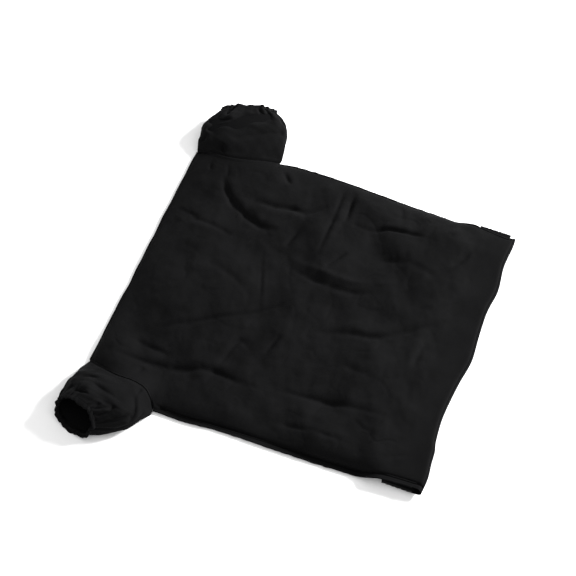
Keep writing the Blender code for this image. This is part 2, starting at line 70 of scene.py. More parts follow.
# Cloth
CLOTH = 0.0005
SHARP_ANGLE = 62
STITCH, STITCH_GAP, STITCH_RADIUS = 0.0024, 0.0009, 0.00034
ZIP_STITCH_RADIUS, ZIP_STITCH_SINK = 0.0003, 0.0002
SEAM_RADIUS, SEAM_SQUASH, SEAM_HEIGHT = 0.0017, 0.85, 0.0031
EDGE_LIFT, EDGE_LIFT_WIDTH = 0.0024, 0.010
LINING_INSET, LINING_REACH = 0.007, 0.004
LINING_FLOOR, LINING_LEAST = 0.0012, 0.0030
LINING_GAP = 0.0016
BOTTOM_STACK = 0.0046
UNDERSIDE_CLEAR = 0.0003

# Outline of the body where its seams lie, as points that a smooth curve runs through
CLOSED_NEAR_X, CLOSED_FAR_X = -0.2890, -0.2832
STRIP_X = 0.3000
NEAR_ARMHOLE = (
    (-0.2890, -0.2290, 0.0060),
    (-0.2750, -0.2350, 0.0130),
    (-0.2550, -0.2410, 0.0195),
    (-0.2290, -0.2465, 0.0245),
    (-0.1990, -0.2470, 0.0255),
    (-0.1760, -0.2510, 0.0215),
    (-0.1610, -0.2620, 0.0130),
    (-0.1500, -0.2780, 0.0050),
)
FAR_ARMHOLE = (
    (-0.2832, 0.2340, 0.0060),
    (-0.2700, 0.2360, 0.0130),
    (-0.2500, 0.2350, 0.0200),
    (-0.2280, 0.2330, 0.0240),
    (-0.2000, 0.2370, 0.0245),
    (-0.1740, 0.2460, 0.0210),
    (-0.1510, 0.2570, 0.0135),
    (-0.1320, 0.2650, 0.0060),
)
NEAR_EDGE = (
    (-0.1500, -0.2780),
    (-0.0950, -0.2780),
    (-0.0400, -0.2730),
    (0.0300, -0.2715),
    (0.1000, -0.2712),
    (0.1800, -0.2685),
    (0.2350, -0.2665),
    (0.2650, -0.2622),
    (0.3000, -0.2600),
)
FAR_EDGE = (
    (-0.1320, 0.2650),
    (-0.0950, 0.2700),
    (-0.0400, 0.2712),
    (0.0200, 0.2700),
    (0.0900, 0.2662),
    (0.1500, 0.2638),
    (0.2200, 0.2620),
    (0.2600, 0.2575),
    (0.3000, 0.2530),
)

# How far the folded edge stands out past the fold's axis, along it
FOLD_EDGE = (
    (-0.262, 0.0120),
    (-0.235, 0.0138),
    (-0.205, 0.0105),
    (-0.185, 0.0090),
    (-0.165, 0.0045),
    (-0.125, 0.0012),
    (-0.085, 0.0030),
    (-0.045, 0.0070),
    (0.000, 0.0132),
    (0.050, 0.0098),
    (0.100, 0.0080),
    (0.148, 0.0128),
    (0.198, 0.0075),
    (0.245, 0.0100),
    (0.268, 0.0085),
)

# Heights of the body's top face over its underside
SWELL = 0.0165
SWELL_AT_FOLD = 0.0093
SEAM_LEVEL = 0.0036
HEM_WIDTH = 0.0085
HEM_GROOVE, HEM_GROOVE_WIDTH = 0.0024, 0.0017
EDGE_ROUNDING = 0.055
RAMP_START, RAMP_END = 0.2045, 0.2495
RISE_START, RISE_LENGTH = 0.0300, 0.2300
FOLD_DEPTH = 1.0
BROAD_WAVE, MIDDLE_WAVE, CREPE_WAVE, FINE_WAVE = 0.0024, 0.0008, 0.00016, 0.00004
CRUMPLE_DEPTH = 0.0007
FOLD_GROOVE = 0.0022
GROOVE_ANGLE, GROOVE_SPREAD = 46, 9
CLOSER_ROWS = 0.45
TOP_ROWS = 250

# Folds of the top cloth: (points, depth, width, lip beside it). Depth is down. A lip's sign is its side.
FOLDS = (
    (((-0.281, 0.015), (-0.272, 0.057), (-0.257, 0.090)), 0.0060, 0.012, 0.0025),
    (((-0.272, 0.109), (-0.221, 0.099)), 0.0030, 0.006, 0.0015),
    (((-0.239, 0.095), (-0.190, 0.094), (-0.155, 0.088)), 0.0035, 0.007, -0.0018),
    (
        ((-0.220, 0.211), (-0.200, 0.172), (-0.173, 0.148), (-0.121, 0.124), (-0.079, 0.125)),
        0.0060, 0.009, 0.0035,
    ),
    (
        ((-0.150, 0.166), (-0.103, 0.172), (-0.070, 0.178), (-0.049, 0.177), (-0.013, 0.207)),
        0.0085, 0.010, -0.0035,
    ),
    (((-0.046, 0.140), (-0.057, 0.099)), 0.0045, 0.007, 0.0025),
    (((-0.091, 0.077), (-0.071, 0.019), (-0.051, -0.039)), 0.0016, 0.004, 0.0010),
    (((-0.204, -0.134), (-0.110, -0.079), (-0.054, -0.044), (0.008, 0.010)), 0.0034, 0.006, 0.0018),
    (((-0.049, 0.082), (0.020, 0.071), (0.082, 0.071), (0.156, 0.095)), -0.0034, 0.010, 0.0),
    (((-0.040, 0.064), (0.020, 0.052), (0.086, 0.050), (0.150, 0.072)), 0.0040, 0.010, 0.0),
    (((0.025, 0.082), (0.051, 0.125)), 0.0060, 0.007, -0.0025),
    (((0.001, 0.252), (0.003, 0.188), (0.003, 0.107)), 0.0042, 0.006, 0.0025),
    (((0.022, 0.251), (0.025, 0.185)), 0.0036, 0.006, 0.0022),
    (((0.040, 0.186), (0.075, 0.184), (0.106, 0.196), (0.182, 0.200)), 0.0045, 0.006, 0.0022),
    (
        ((0.056, -0.045), (0.104, -0.030), (0.157, -0.022), (0.217, 0.017), (0.272, 0.054)),
        0.0046, 0.009, 0.0020,
    ),
    (((-0.077, -0.163), (-0.063, -0.107), (-0.038, -0.117)), 0.0036, 0.007, 0.0020),
    (((-0.013, -0.115), (0.001, -0.070)), 0.0034, 0.007, -0.0018),
    (
        ((-0.262, -0.206), (-0.149, -0.197), (-0.090, -0.178), (-0.032, -0.183), (0.001, -0.183)),
        0.0050, 0.009, 0.0028,
    ),
    (((-0.231, -0.168), (-0.165, -0.176)), 0.0034, 0.007, 0.0020),
    (((0.024, -0.173), (0.083, -0.169), (0.179, -0.160), (0.226, -0.159)), 0.0036, 0.008, 0.0020),
    (((0.059, -0.229), (0.117, -0.226), (0.170, -0.224)), 0.0026, 0.007, 0.0016),
    (((0.255, -0.227), (0.272, -0.216), (0.290, -0.208)), 0.0018, 0.007, 0.0008),
    (((0.233, -0.056), (0.241, -0.001)), 0.0030, 0.008, 0.0015),
    (((-0.116, 0.246), (-0.096, 0.224)), 0.0036, 0.006, 0.0018),
    (((-0.247, 0.226), (-0.243, 0.200)), 0.0030, 0.005, 0.0016),
    (((-0.216, 0.226), (-0.206, 0.196)), 0.0026, 0.005, -0.0014),
    (((-0.205, -0.238), (-0.196, -0.212)), 0.0026, 0.006, 0.0012),
    (((0.110, 0.255), (0.120, 0.222)), 0.0028, 0.006, 0.0014),
    (((0.200, 0.120), (0.236, 0.160), (0.262, 0.214)), 0.0034, 0.009, 0.0016),
    (((-0.175, 0.020), (-0.120, 0.006), (-0.075, -0.020)), 0.0018, 0.009, 0.0008),
    (((0.100, 0.130), (0.160, 0.138), (0.215, 0.128)), 0.0024, 0.009, 0.0010),
    (((0.060, -0.105), (0.120, -0.092), (0.185, -0.100)), 0.0024, 0.010, 0.0010),
)


# ---------------------------------------------------------------- curves and fields


def smooth(share):
    share = np.clip(share, 0.0, 1.0)
    return share * share * (3.0 - 2.0 * share)


def mix(low, high, share):
    return low + (high - low) * share


def curve_through(points, count):
    """Evenly spaced points of a Catmull-Rom curve through the given ones."""
    given = np.array(points, float)
    padded = np.vstack((2 * given[0] - given[1], given, 2 * given[-1] - given[-2]))
    fine = []
    for a, b, c, d in zip(padded, padded[1:], padded[2:], padded[3:]):
        t = np.linspace(0.0, 1.0, 24, endpoint=False)[:, None]
        fine.append(
            0.5 * (2 * b + (c - a) * t + (2 * a - 5 * b + 4 * c - d) * t**2 + (3 * b - a - 3 * c + d) * t**3)
        )
    fine = np.vstack((*fine, given[-1:]))
    lengths = np.concatenate(([0.0], np.cumsum(np.linalg.norm(np.diff(fine, axis=0), axis=1))))
    places = np.linspace(0.0, lengths[-1], count)
    return np.stack([np.interp(places, lengths, fine[:, k]) for k in range(fine.shape[1])], axis=1)


def read_curve(points, x, column=1):
    """The curve's value in a column, at each x of its first column."""
    fine = curve_through(points, 400)
    return np.interp(x, fine[:, 0], fine[:, column])


class Noise:
    """A smooth random field over the plane, summed from plane waves, the same each run."""

    def __init__(self, seed, wavelength, waves=44, stretch=1.0):
        random = np.random.default_rng(seed)
        heading = random.uniform(0.0, 2 * math.pi, waves)
        length = wavelength * np.exp(random.normal(0.0, 0.28, waves))
        self.kx = 2 * math.pi * np.cos(heading) / length
        self.ky = 2 * math.pi * np.sin(heading) / length * stretch
        self.phase = random.uniform(0.0, 2 * math.pi, waves)

    def __call__(self, x, y):
        total = 0.0 * (x + y)
        for kx, ky, phase in zip(self.kx, self.ky, self.phase):
            total = total + np.cos(kx * x + ky * y + phase)
        return total * math.sqrt(2.0 / len(self.kx))


BROAD = Noise(11, 0.170)
MIDDLE = Noise(23, 0.066)
CREPE = Noise(37, 0.024)
FINE = Noise(41, 0.010)
CRUMPLE = (Noise(53, 0.120), Noise(67, 0.085))
WHERE_CRUMPLED = (Noise(71, 0.150), Noise(83, 0.120))


def crumple(x, y):
    """Shallow random creases: thin valleys along a field's zero line, in some places only."""
    total = 0.0 * x
    for field, where in zip(CRUMPLE, WHERE_CRUMPLED):
        warped = field(x + 0.006 * MIDDLE(y, x), y + 0.006 * MIDDLE(x, y))
        total -= smooth(where(x, y) * 0.7 + 0.25) * np.exp(-((warped / 0.30) ** 2))
    return total


def underside(x):
    """Height of the body's underside, which climbs over the folded zip end."""
    return (FOLD_Z + UNDERSIDE_CLEAR) * smooth((x - RAMP_START) / (RAMP_END - RAMP_START))


def closed_end_x(y):
    return mix(CLOSED_NEAR_X, CLOSED_FAR_X, (y + 0.23) / 0.46)


def hem_begins(x):
    """0 beside the armhole and 1 past it, where the near side has its hem."""
    return smooth((x + 0.155) / 0.02)


def near_edge(x):
    return np.where(x < NEAR_EDGE[0][0], read_curve(NEAR_ARMHOLE, x), read_curve(NEAR_EDGE, x))


def far_edge(x):
    return np.where(x < FAR_EDGE[0][0], read_curve(FAR_ARMHOLE, x), read_curve(FAR_EDGE, x))


def edge_level(x, armhole, edge):
    """Height of the top cloth along a side: an arch over the armhole, then the seam's level."""
    return np.where(x < edge[0][0], read_curve(armhole, x, 2), SEAM_LEVEL + 0 * x)


def fold_height(x, y, folds):
    """What a list of folds adds to the height at each place."""
    total = np.zeros_like(x)
    for points, depth, width, lip in folds:
        line = curve_through(points, 14)
        best = np.full(x.shape, 1e9)
        side = np.zeros_like(x)
        along = np.zeros_like(x)
        steps = len(line) - 1
        for k, (a, b) in enumerate(zip(line, line[1:])):
            d = b - a
            t = ((x - a[0]) * d[0] + (y - a[1]) * d[1]) / (d @ d)
            held = np.clip(t, 0.0, 1.0)
            dx, dy = x - a[0] - held * d[0], y - a[1] - held * d[1]
            distance = np.hypot(dx, dy)
            closer = distance < best
            best = np.where(closer, distance, best)
            side = np.where(closer, np.sign(d[0] * dy - d[1] * dx) * distance, side)
            along = np.where(closer, (k + held) / steps, along)
        taper = np.sin(math.pi * np.clip(along, 0.01, 0.99)) ** 0.6
        wander = 1.0 + 0.22 * MIDDLE(x + depth * 9, y - width * 7)
        sharp = np.exp(-((best / (0.62 * width)) ** 2))
        soft = np.exp(-((best / (2.4 * width)) ** 2))
        total -= depth * taper * wander * (0.66 * sharp + 0.42 * soft)
        if lip:
            off = side * math.copysign(1.0, lip) - 1.6 * width
            total += abs(lip) * taper * np.exp(-((off / (1.3 * width)) ** 2) - (best / (4 * width)) ** 2)
    return total


def top_height(x, y):
    """Height of the outer face of the body's top cloth."""
    from_near, from_far = y - near_edge(x), far_edge(x) - y
    from_end = x - closed_end_x(y)
    swell = mix(SWELL, SWELL_AT_FOLD, smooth((x - RAMP_START) / (STRIP_X - RAMP_START)))
    swell = swell + FOLD_Z * smooth((x - RISE_START) / RISE_LENGTH) - underside(x)
    swell = swell + BROAD_WAVE * BROAD(x, y) * (1.0 - smooth((x - 0.20) / 0.06))
    calm = smooth(np.minimum(np.minimum(from_near, from_far), from_end) / 0.03)
    toward_fold = smooth((x - 0.255) / 0.035)
    detail = FOLD_DEPTH * fold_height(x, y, FOLDS) + CRUMPLE_DEPTH * crumple(x, y)
    detail += MIDDLE_WAVE * MIDDLE(x, y) + CREPE_WAVE * CREPE(x, y) + FINE_WAVE * FINE(x, y)
    height = swell + detail * calm * (1.0 - 0.8 * toward_fold)
    height = np.maximum(height, BOTTOM_STACK + 0.0012 * (1.0 + np.tanh((height - BOTTOM_STACK) / 0.002)))

    def rounded(height, level, distance, hem):
        run = np.clip((distance - hem) / EDGE_ROUNDING, 0.0, 1.0)
        return mix(level, height, np.sqrt(1.0 - (1.0 - run) ** 2.2))

    at_near = edge_level(x, NEAR_ARMHOLE, NEAR_EDGE)
    at_far = edge_level(x, FAR_ARMHOLE, FAR_EDGE)
    near_hem = HEM_WIDTH * hem_begins(x)
    height = rounded(height, at_near, from_near, near_hem)
    height = rounded(height, at_far, from_far, 0.002)
    height = rounded(height, SEAM_LEVEL, from_end, 0.001)
    groove = np.exp(-(((from_near - HEM_WIDTH) / HEM_GROOVE_WIDTH) ** 2)) * hem_begins(x)
    return underside(x) + height - HEM_GROOVE * groove


# ---------------------------------------------------------------- making meshes


def link(obj):
    bpy.context.scene.collection.objects.link(obj)


def add_mesh(name, vertices, faces, material):
    mesh = bpy.data.meshes.new(name)
    mesh.from_pydata([tuple(map(float, v)) for v in vertices], [], [tuple(map(int, f)) for f in faces])
    mesh.update()
    mesh.shade_smooth()
    obj = bpy.data.objects.new(name, mesh)
    link(obj)
    mesh.materials.append(material)
    return obj


def face_outward(obj):
    """Turns every face of a solid object outward."""
    shape = bmesh.new()
    shape.from_mesh(obj.data)
    bmesh.ops.recalc_face_normals(shape, faces=shape.faces)
    shape.to_mesh(obj.data)
    shape.free()
    return obj


def sheet_faces(rows, columns, closed=False, flip=False):
    """Quads of a grid of rows x columns vertices; closed joins the last column to the first."""
    r = np.arange(rows - 1)[:, None]
    c = np.arange(columns if closed else columns - 1)[None, :]
    right = (c + 1) % columns
    low, high = r * columns, (r + 1) * columns
    quads = np.stack((low + c, low + right, high + right, high + c), -1).reshape(-1, 4)
    return quads[:, ::-1] if flip else quads


def keep_modifiers(obj):
    """Applies the object's modifiers, and keeps the cloth's cut edges sharp."""
    shaped = obj.evaluated_get(bpy.context.evaluated_depsgraph_get())
    mesh = bpy.data.meshes.new_from_object(shaped)
    obj.modifiers.clear()
    old = obj.data
    obj.data = mesh
    bpy.data.meshes.remove(old)
    mesh.shade_smooth()
    mesh.set_sharp_from_angle(angle=math.radians(SHARP_ANGLE))


def give_thickness(obj, thickness=CLOTH, offset=-1.0):
    shell = obj.modifiers.new("cloth thickness", "SOLIDIFY")
    shell.thickness = thickness
    shell.offset = offset
    keep_modifiers(obj)
    return obj


def add_sheet(name, grid, material, closed=False, flip=False, thickness=CLOTH, offset=-1.0):
    """A cloth sheet from a grid of points, rows x columns x 3."""
    rows, columns = grid.shape[:2]
    faces = sheet_faces(rows, columns, closed, flip)
    obj = add_mesh(name, grid.reshape(-1, 3), faces, material)
    return give_thickness(obj, thickness, offset) if thickness else obj


def sweep(path, section, closed=False):
    """Rings of a section (across, up) carried along a path, upright."""
    path = np.asarray(path, float)
    if closed:
        along = np.roll(path, -1, 0) - np.roll(path, 1, 0)
    else:
        along = np.gradient(path, axis=0)
    along /= np.linalg.norm(along, axis=1)[:, None]
    across = np.cross(along, (0.0, 0.0, 1.0))
    across /= np.maximum(np.linalg.norm(across, axis=1), 1e-9)[:, None]
    up = np.cross(across, along)
    section = np.asarray(section, float)
    return path[:, None] + section[None, :, :1] * across[:, None] + section[None, :, 1:] * up[:, None]


def circle(radius, count=8, squash=1.0):
    angles = np.arange(count) * 2 * math.pi / count
    return np.stack((radius * np.cos(angles), squash * radius * np.sin(angles)), 1)


def add_tube(name, path, section, material, closed=False):
    """A solid bar of one section along a path, capped where it is open."""
    rings = sweep(path, section, closed)
    count, around = rings.shape[:2]
    faces = [tuple(f) for f in sheet_faces(count, around, closed=True)]
    if closed:
        last = (count - 1) * around
        faces += [(last + k, last + (k + 1) % around, (k + 1) % around, k) for k in range(around)]
    else:
        faces.append(tuple(range(around)))
        faces.append(tuple(range(count * around - 1, (count - 1) * around - 1, -1)))
    return face_outward(add_mesh(name, rings.reshape(-1, 3), faces, material))


# ---------------------------------------------------------------- materials


class Nodes:
    """A material's node tree, with short calls for adding and wiring its nodes."""

    def __init__(self, name):
        self.material = bpy.data.materials.new(name)
        self.material.use_nodes = True
        self.tree = self.material.node_tree
        self.shader = self.tree.nodes["Principled BSDF"]
        self.place = self.add("ShaderNodeTexCoord").outputs["Object"]

    def add(self, kind, **settings):
        node = self.tree.nodes.new(kind)
        for key, value in settings.items():
            setattr(node, key, value)
        return node

    def wire(self, source, target):
        self.tree.links.new(source, target)

    def noise(self, scale, detail=3.0, roughness=0.55, place=None):
        node = self.add("ShaderNodeTexNoise")
        node.inputs["Scale"].default_value = scale
        node.inputs["Detail"].default_value = detail
        node.inputs["Roughness"].default_value = roughness
        self.wire(place or self.place, node.inputs["Vector"])
        return node.outputs["Fac"]

    def spread(self, value, low, high, start=0.3, end=0.7):
        """The value, taken from start..end to low..high."""
        node = self.add("ShaderNodeMapRange")
        for key, number in (("From Min", start), ("From Max", end), ("To Min", low), ("To Max", high)):
            node.inputs[key].default_value = number
        self.wire(value, node.inputs["Value"])
        return node.outputs["Result"]

    def maths(self, operation, a, b):
        node = self.add("ShaderNodeMath", operation=operation)
        for socket, value in zip(node.inputs, (a, b)):
            if isinstance(value, (int, float)):
                socket.default_value = value
            else:
                self.wire(value, socket)
        return node.outputs["Value"]

    def threads(self, direction, pitch):
        """Ridges of threads that run square to a direction, one a pitch."""
        node = self.add("ShaderNodeVectorMath", operation="DOT_PRODUCT")
        self.wire(self.place, node.inputs[0])
        node.inputs[1].default_value = direction
        wave = self.maths("SINE", self.maths("MULTIPLY", node.outputs["Value"], 2 * math.pi / pitch), 0.0)
        return self.maths("ADD", self.maths("MULTIPLY", wave, 0.5), 0.5)

    def colour(self, value, dark, light):
        node = self.add("ShaderNodeMix", data_type="RGBA")
        node.inputs["A"].default_value = (*dark, 1.0)
        node.inputs["B"].default_value = (*light, 1.0)
        self.wire(value, node.inputs["Factor"])
        self.wire(node.outputs["Result"], self.shader.inputs["Base Color"])

    def bump(self, height, strength, distance, below=None):
        node = self.add("ShaderNodeBump")
        node.inputs["Strength"].default_value = strength
        node.inputs["Distance"].default_value = distance
        self.wire(height, node.inputs["Height"])
        if below:
            self.wire(below, node.inputs["Normal"])
        return node.outputs["Normal"]

    def finish(self, normal, roughness, **constants):
        self.wire(normal, self.shader.inputs["Normal"])
        self.wire(roughness, self.shader.inputs["Roughness"])
        for key, value in constants.items():
            self.shader.inputs[key.replace("_", " ")].default_value = value
        return self.material


def cloth_material(name, dark, light, pitch, weave, sheen, sheen_roughness=0.45):
    """Plain-woven cloth: warp and weft threads, slubs, tonal mottling and a little lint."""
    nodes = Nodes(name)
    warp = nodes.threads((1.0, 0.0, 0.8), pitch)
    weft = nodes.threads((0.0, 1.0, 0.8), pitch)
    over = nodes.maths("MULTIPLY", warp, weft)
    under = nodes.maths("MULTIPLY", nodes.maths("SUBTRACT", 1.0, warp), nodes.maths("SUBTRACT", 1.0, weft))
    woven = nodes.maths("ADD", over, under)
    tone = nodes.noise(14.0, 4.0)
    mottle = nodes.noise(160.0, 4.0, 0.65)
    slubs = nodes.noise(900.0, 2.0)
    lint = nodes.spread(nodes.noise(1400.0, 1.0), 0.0, 1.0, 0.74, 0.80)
    mixed = nodes.maths("ADD", nodes.maths("MULTIPLY", tone, 0.55), nodes.maths("MULTIPLY", mottle, 0.45))
    tones = nodes.spread(mixed, 0.05, 0.85, 0.36, 0.64)
    shade = nodes.maths("ADD", tones, nodes.maths("MULTIPLY", woven, 0.15))
    shade = nodes.maths("ADD", shade, nodes.maths("MULTIPLY", lint, 0.9))
    nodes.colour(shade, dark, light)
    normal = nodes.bump(mottle, 0.22, 0.0012)
    normal = nodes.bump(slubs, 0.25, 0.0004, normal)
    normal = nodes.bump(woven, weave, 0.0003, normal)
    roughness = nodes.spread(mottle, 0.74, 0.92)
    return nodes.finish(
        normal,
        roughness,
        Sheen_Weight=sheen,
        Sheen_Roughness=sheen_roughness,
        Sheen_Tint=(0.92, 0.95, 1.0, 1.0),
        Specular_IOR_Level=0.04,
    )


def thread_material():
    """Twisted sewing thread and the tight cloth of a turned seam."""
    nodes = Nodes("black_thread")
    twist = nodes.threads((1.0, 0.7, 1.0), 0.0009)
    fuzz = nodes.noise(700.0, 3.0)
    nodes.colour(nodes.spread(fuzz, 0.0, 1.0), (0.0008, 0.0008, 0.0009), (0.0026, 0.0026, 0.0028))
    normal = nodes.bump(twist, 0.5, 0.0004, nodes.bump(fuzz, 0.4, 0.0005))
    return nodes.finish(normal, nodes.spread(fuzz, 0.6, 0.85), Specular_IOR_Level=0.06)


def tape_material():
    """Zip tape: close ribs along its length, and a herringbone across them."""
    nodes = Nodes("zip_tape")
    ribs = nodes.threads((1.0, 0.0, 0.0), 0.0011)
    picks = nodes.threads((0.35, 1.0, 0.0), 0.0007)
    fuzz = nodes.noise(420.0, 3.0)
    woven = nodes.maths("MULTIPLY", ribs, picks)
    nodes.colour(nodes.spread(fuzz, 0.1, 0.9), (0.0018, 0.0018, 0.0020), (0.0048, 0.0048, 0.0051))
    normal = nodes.bump(woven, 0.55, 0.0004, nodes.bump(fuzz, 0.2, 0.0006))
    return nodes.finish(normal, nodes.spread(fuzz, 0.6, 0.8), Specular_IOR_Level=0.10)


def nylon_material():
    nodes = Nodes("zip_coil")
    wear = nodes.noise(260.0, 3.0)
    nodes.colour(nodes.spread(wear, 0.0, 1.0), (0.0026, 0.0026, 0.0029), (0.0070, 0.0070, 0.0074))
    normal = nodes.bump(wear, 0.15, 0.0003)
    return nodes.finish(normal, nodes.spread(wear, 0.34, 0.50), Specular_IOR_Level=0.25)


def elastic_material():
    """Braided elastic: ribs along the band."""
    nodes = Nodes("cuff_elastic")
    ribs = nodes.threads((0.2, 1.0, 0.3), 0.0014)
    knit = nodes.threads((1.0, 0.3, 1.0), 0.0009)
    fuzz = nodes.noise(500.0, 2.0)
    nodes.colour(nodes.spread(fuzz, 0.0, 1.0), (0.0016, 0.0016, 0.0017), (0.0042, 0.0042, 0.0044))
    normal = nodes.bump(knit, 0.4, 0.0004, nodes.bump(ribs, 0.6, 0.0005))
    return nodes.finish(normal, nodes.spread(fuzz, 0.6, 0.8), Specular_IOR_Level=0.08)


def enamel_material():
    """Black enamel on zinc, rubbed thin in places."""
    nodes = Nodes("zip_hardware")
    wear = nodes.noise(340.0, 5.0, 0.7)
    cloud = nodes.noise(90.0, 2.0)
    rubbed = nodes.spread(wear, 0.0, 1.0, 0.60, 0.72)
    nodes.colour(rubbed, (0.0050, 0.0050, 0.0055), (0.0600, 0.0585, 0.0560))
    nodes.wire(nodes.maths("MULTIPLY", rubbed, 0.7), nodes.shader.inputs["Metallic"])
    normal = nodes.bump(wear, 0.10, 0.0002)
    roughness = nodes.spread(cloud, 0.28, 0.44)
    return nodes.finish(normal, roughness, Specular_IOR_Level=0.4, Coat_Weight=0.10, Coat_Roughness=0.2)


OUTER = cloth_material(
    "outer_cloth", (0.0012, 0.0012, 0.0013), (0.0036, 0.0036, 0.0038), pitch=0.0010, weave=0.40, sheen=0.006
)
LINING = cloth_material(
    "lining_cloth", (0.0008, 0.0008, 0.0009), (0.0022, 0.0022, 0.0024), pitch=0.0008, weave=0.25, sheen=0.003
)
THREAD = thread_material()
TAPE = tape_material()
NYLON = nylon_material()
ELASTIC = elastic_material()
ENAMEL = enamel_material()


# ---------------------------------------------------------------- body


def body_plan(rows, columns, inset=0.0):
    """Places over the body: rows from the near side to the far one, columns from closed end to fold."""
    share_x = np.linspace(0.0, 1.0, columns)[None, :]
    even = np.linspace(0.0, 1.0, rows)[:, None]
    share_y = even - CLOSER_ROWS * np.sin(2 * math.pi * even) / (2 * math.pi)
    closed_x = mix(CLOSED_NEAR_X, CLOSED_FAR_X, share_y) + inset
    x = mix(closed_x, STRIP_X, share_x)
    y = mix(near_edge(x) + inset, far_edge(x) - inset, share_y + 0 * x)
    return x, y


def bottom_height(x, y):
    """Outer face of the bottom cloth: on the surface, and drawn up to the seams round its edge."""
    distance = np.minimum(y - near_edge(x), far_edge(x) - y)
    past_armholes = smooth((x + 0.150) / 0.015)
    lift = EDGE_LIFT * (1.0 - smooth(distance / EDGE_LIFT_WIDTH)) * past_armholes
    end_lift = EDGE_LIFT * (1.0 - smooth((x - closed_end_x(y)) / EDGE_LIFT_WIDTH))
    end_lift *= smooth((distance - 0.004) / 0.02)
    return underside(x) + np.maximum(lift, end_lift)


def add_body_cloth():
    x, y = body_plan(TOP_ROWS, 232)
    top = add_sheet("body_cloth_top", np.stack((x, y, top_height(x, y)), -1), OUTER)
    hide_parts("outer_top_panel")

    x, y = body_plan(66, 90)
    base = bottom_height(x, y)
    bottom = add_sheet("body_cloth_bottom", np.stack((x, y, base), -1), OUTER, flip=True)
    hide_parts("outer_bottom_panel")

    x, y = body_plan(104, 118, inset=LINING_INSET)
    steps = (-LINING_REACH, 0.0, LINING_REACH)
    around = [(dx, dy) for dx in steps for dy in steps]
    lowest = np.min([top_height(x + dx, y + dy) - underside(x + dx) for dx, dy in around], axis=0)
    height = underside(x) + np.maximum(lowest - LINING_GAP, LINING_LEAST)
    lining = add_sheet("body_lining_top", np.stack((x, y, height), -1), LINING)
    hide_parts("inner_top_panel")

    x, y = body_plan(66, 90, inset=LINING_INSET)
    floor = underside(x) + LINING_FLOOR
    under = add_sheet("body_lining_bottom", np.stack((x, y, floor), -1), LINING, flip=True)
    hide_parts("inner_bottom_panel")
    for piece in (top, bottom, lining, under):
        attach(piece, "bag_body")


def side_path(edge, start, count, inset=0.0):
    x = np.linspace(start, STRIP_X + 0.006, count)
    inward = math.copysign(inset, -edge[0][1])
    y = (near_edge(x) if edge is NEAR_EDGE else far_edge(x)) + inward
    return x, y


def add_stitches(name, path, length, gap, radius, rise=0.0):
    """A row of stitches: one short rounded sausage of thread after another."""
    path = np.asarray(path, float)
    lengths = np.concatenate(([0.0], np.cumsum(np.linalg.norm(np.diff(path, axis=0), axis=1))))
    vertices, faces = [], []
    shares = (0.0, 0.2, 0.5, 0.8, 1.0)
    sizes = (0.45, 0.9, 1.0, 0.9, 0.45)
    start = gap
    while start + length < lengths[-1]:
        places = start + length * np.array(shares)
        line = np.stack([np.interp(places, lengths, path[:, k]) for k in range(3)], 1)
        line[:, 2] += rise + radius * np.array((-0.8, 0.1, 0.45, 0.1, -0.8))
        rings = sweep(line, circle(radius, 6))
        rings = line[:, None] + (rings - line[:, None]) * np.array(sizes)[:, None, None]
        base = len(vertices)
        vertices += [tuple(p) for p in rings.reshape(-1, 3)]
        faces += [tuple(f + base) for f in sheet_faces(len(shares), 6, closed=True)]
        faces.append(tuple(base + k for k in range(6)))
        faces.append(tuple(base + 24 + k for k in range(5, -1, -1)))
        start += length + gap
    return face_outward(add_mesh(name, vertices, faces, THREAD))


def add_body_seams():
    section = circle(SEAM_RADIUS, 10, SEAM_SQUASH)
    sides = (("near", NEAR_EDGE, -0.1490), ("far", FAR_EDGE, -0.1310))
    for side, edge, start in sides:
        x, y = side_path(edge, start, 200)
        wander = 0.0003 * CREPE(x, y)
        path = np.stack((x, y + wander, underside(x) + SEAM_HEIGHT + 0.0002 * MIDDLE(x, y)), 1)
        seam = add_tube(f"{side}_side_turned_seam", path, section, OUTER)
        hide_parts(f"{side}_side_seam")
        x, y = side_path(edge, start + 0.004, 400, HEM_WIDTH if side == "near" else 0.0045)
        row = np.stack((x, y, top_height(x, y)), 1)
        stitches = add_stitches(f"{side}_side_stitching", row, STITCH, STITCH_GAP, STITCH_RADIUS)
        for piece in (seam, stitches):
            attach(piece, "bag_body")

    y = np.linspace(-0.2270, 0.2320, 160)
    x = closed_end_x(y)
    path = np.stack((x - 0.0003 + 0.0004 * MIDDLE(x, y), y, SEAM_HEIGHT + 0 * y), 1)
    seam = add_tube("closed_end_turned_seam", path, section, OUTER)
    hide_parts("closed_end_seam")
    row_x = x + 0.0045
    row = np.stack((row_x, y, top_height(row_x, y)), 1)
    stitches = add_stitches("closed_end_stitching", row[6:-6], STITCH, STITCH_GAP, STITCH_RADIUS)
    for piece in (seam, stitches):
        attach(piece, "bag_body")


# ---------------------------------------------------------------- fold line


def fold_edge(y):
    return read_curve(FOLD_EDGE, y)


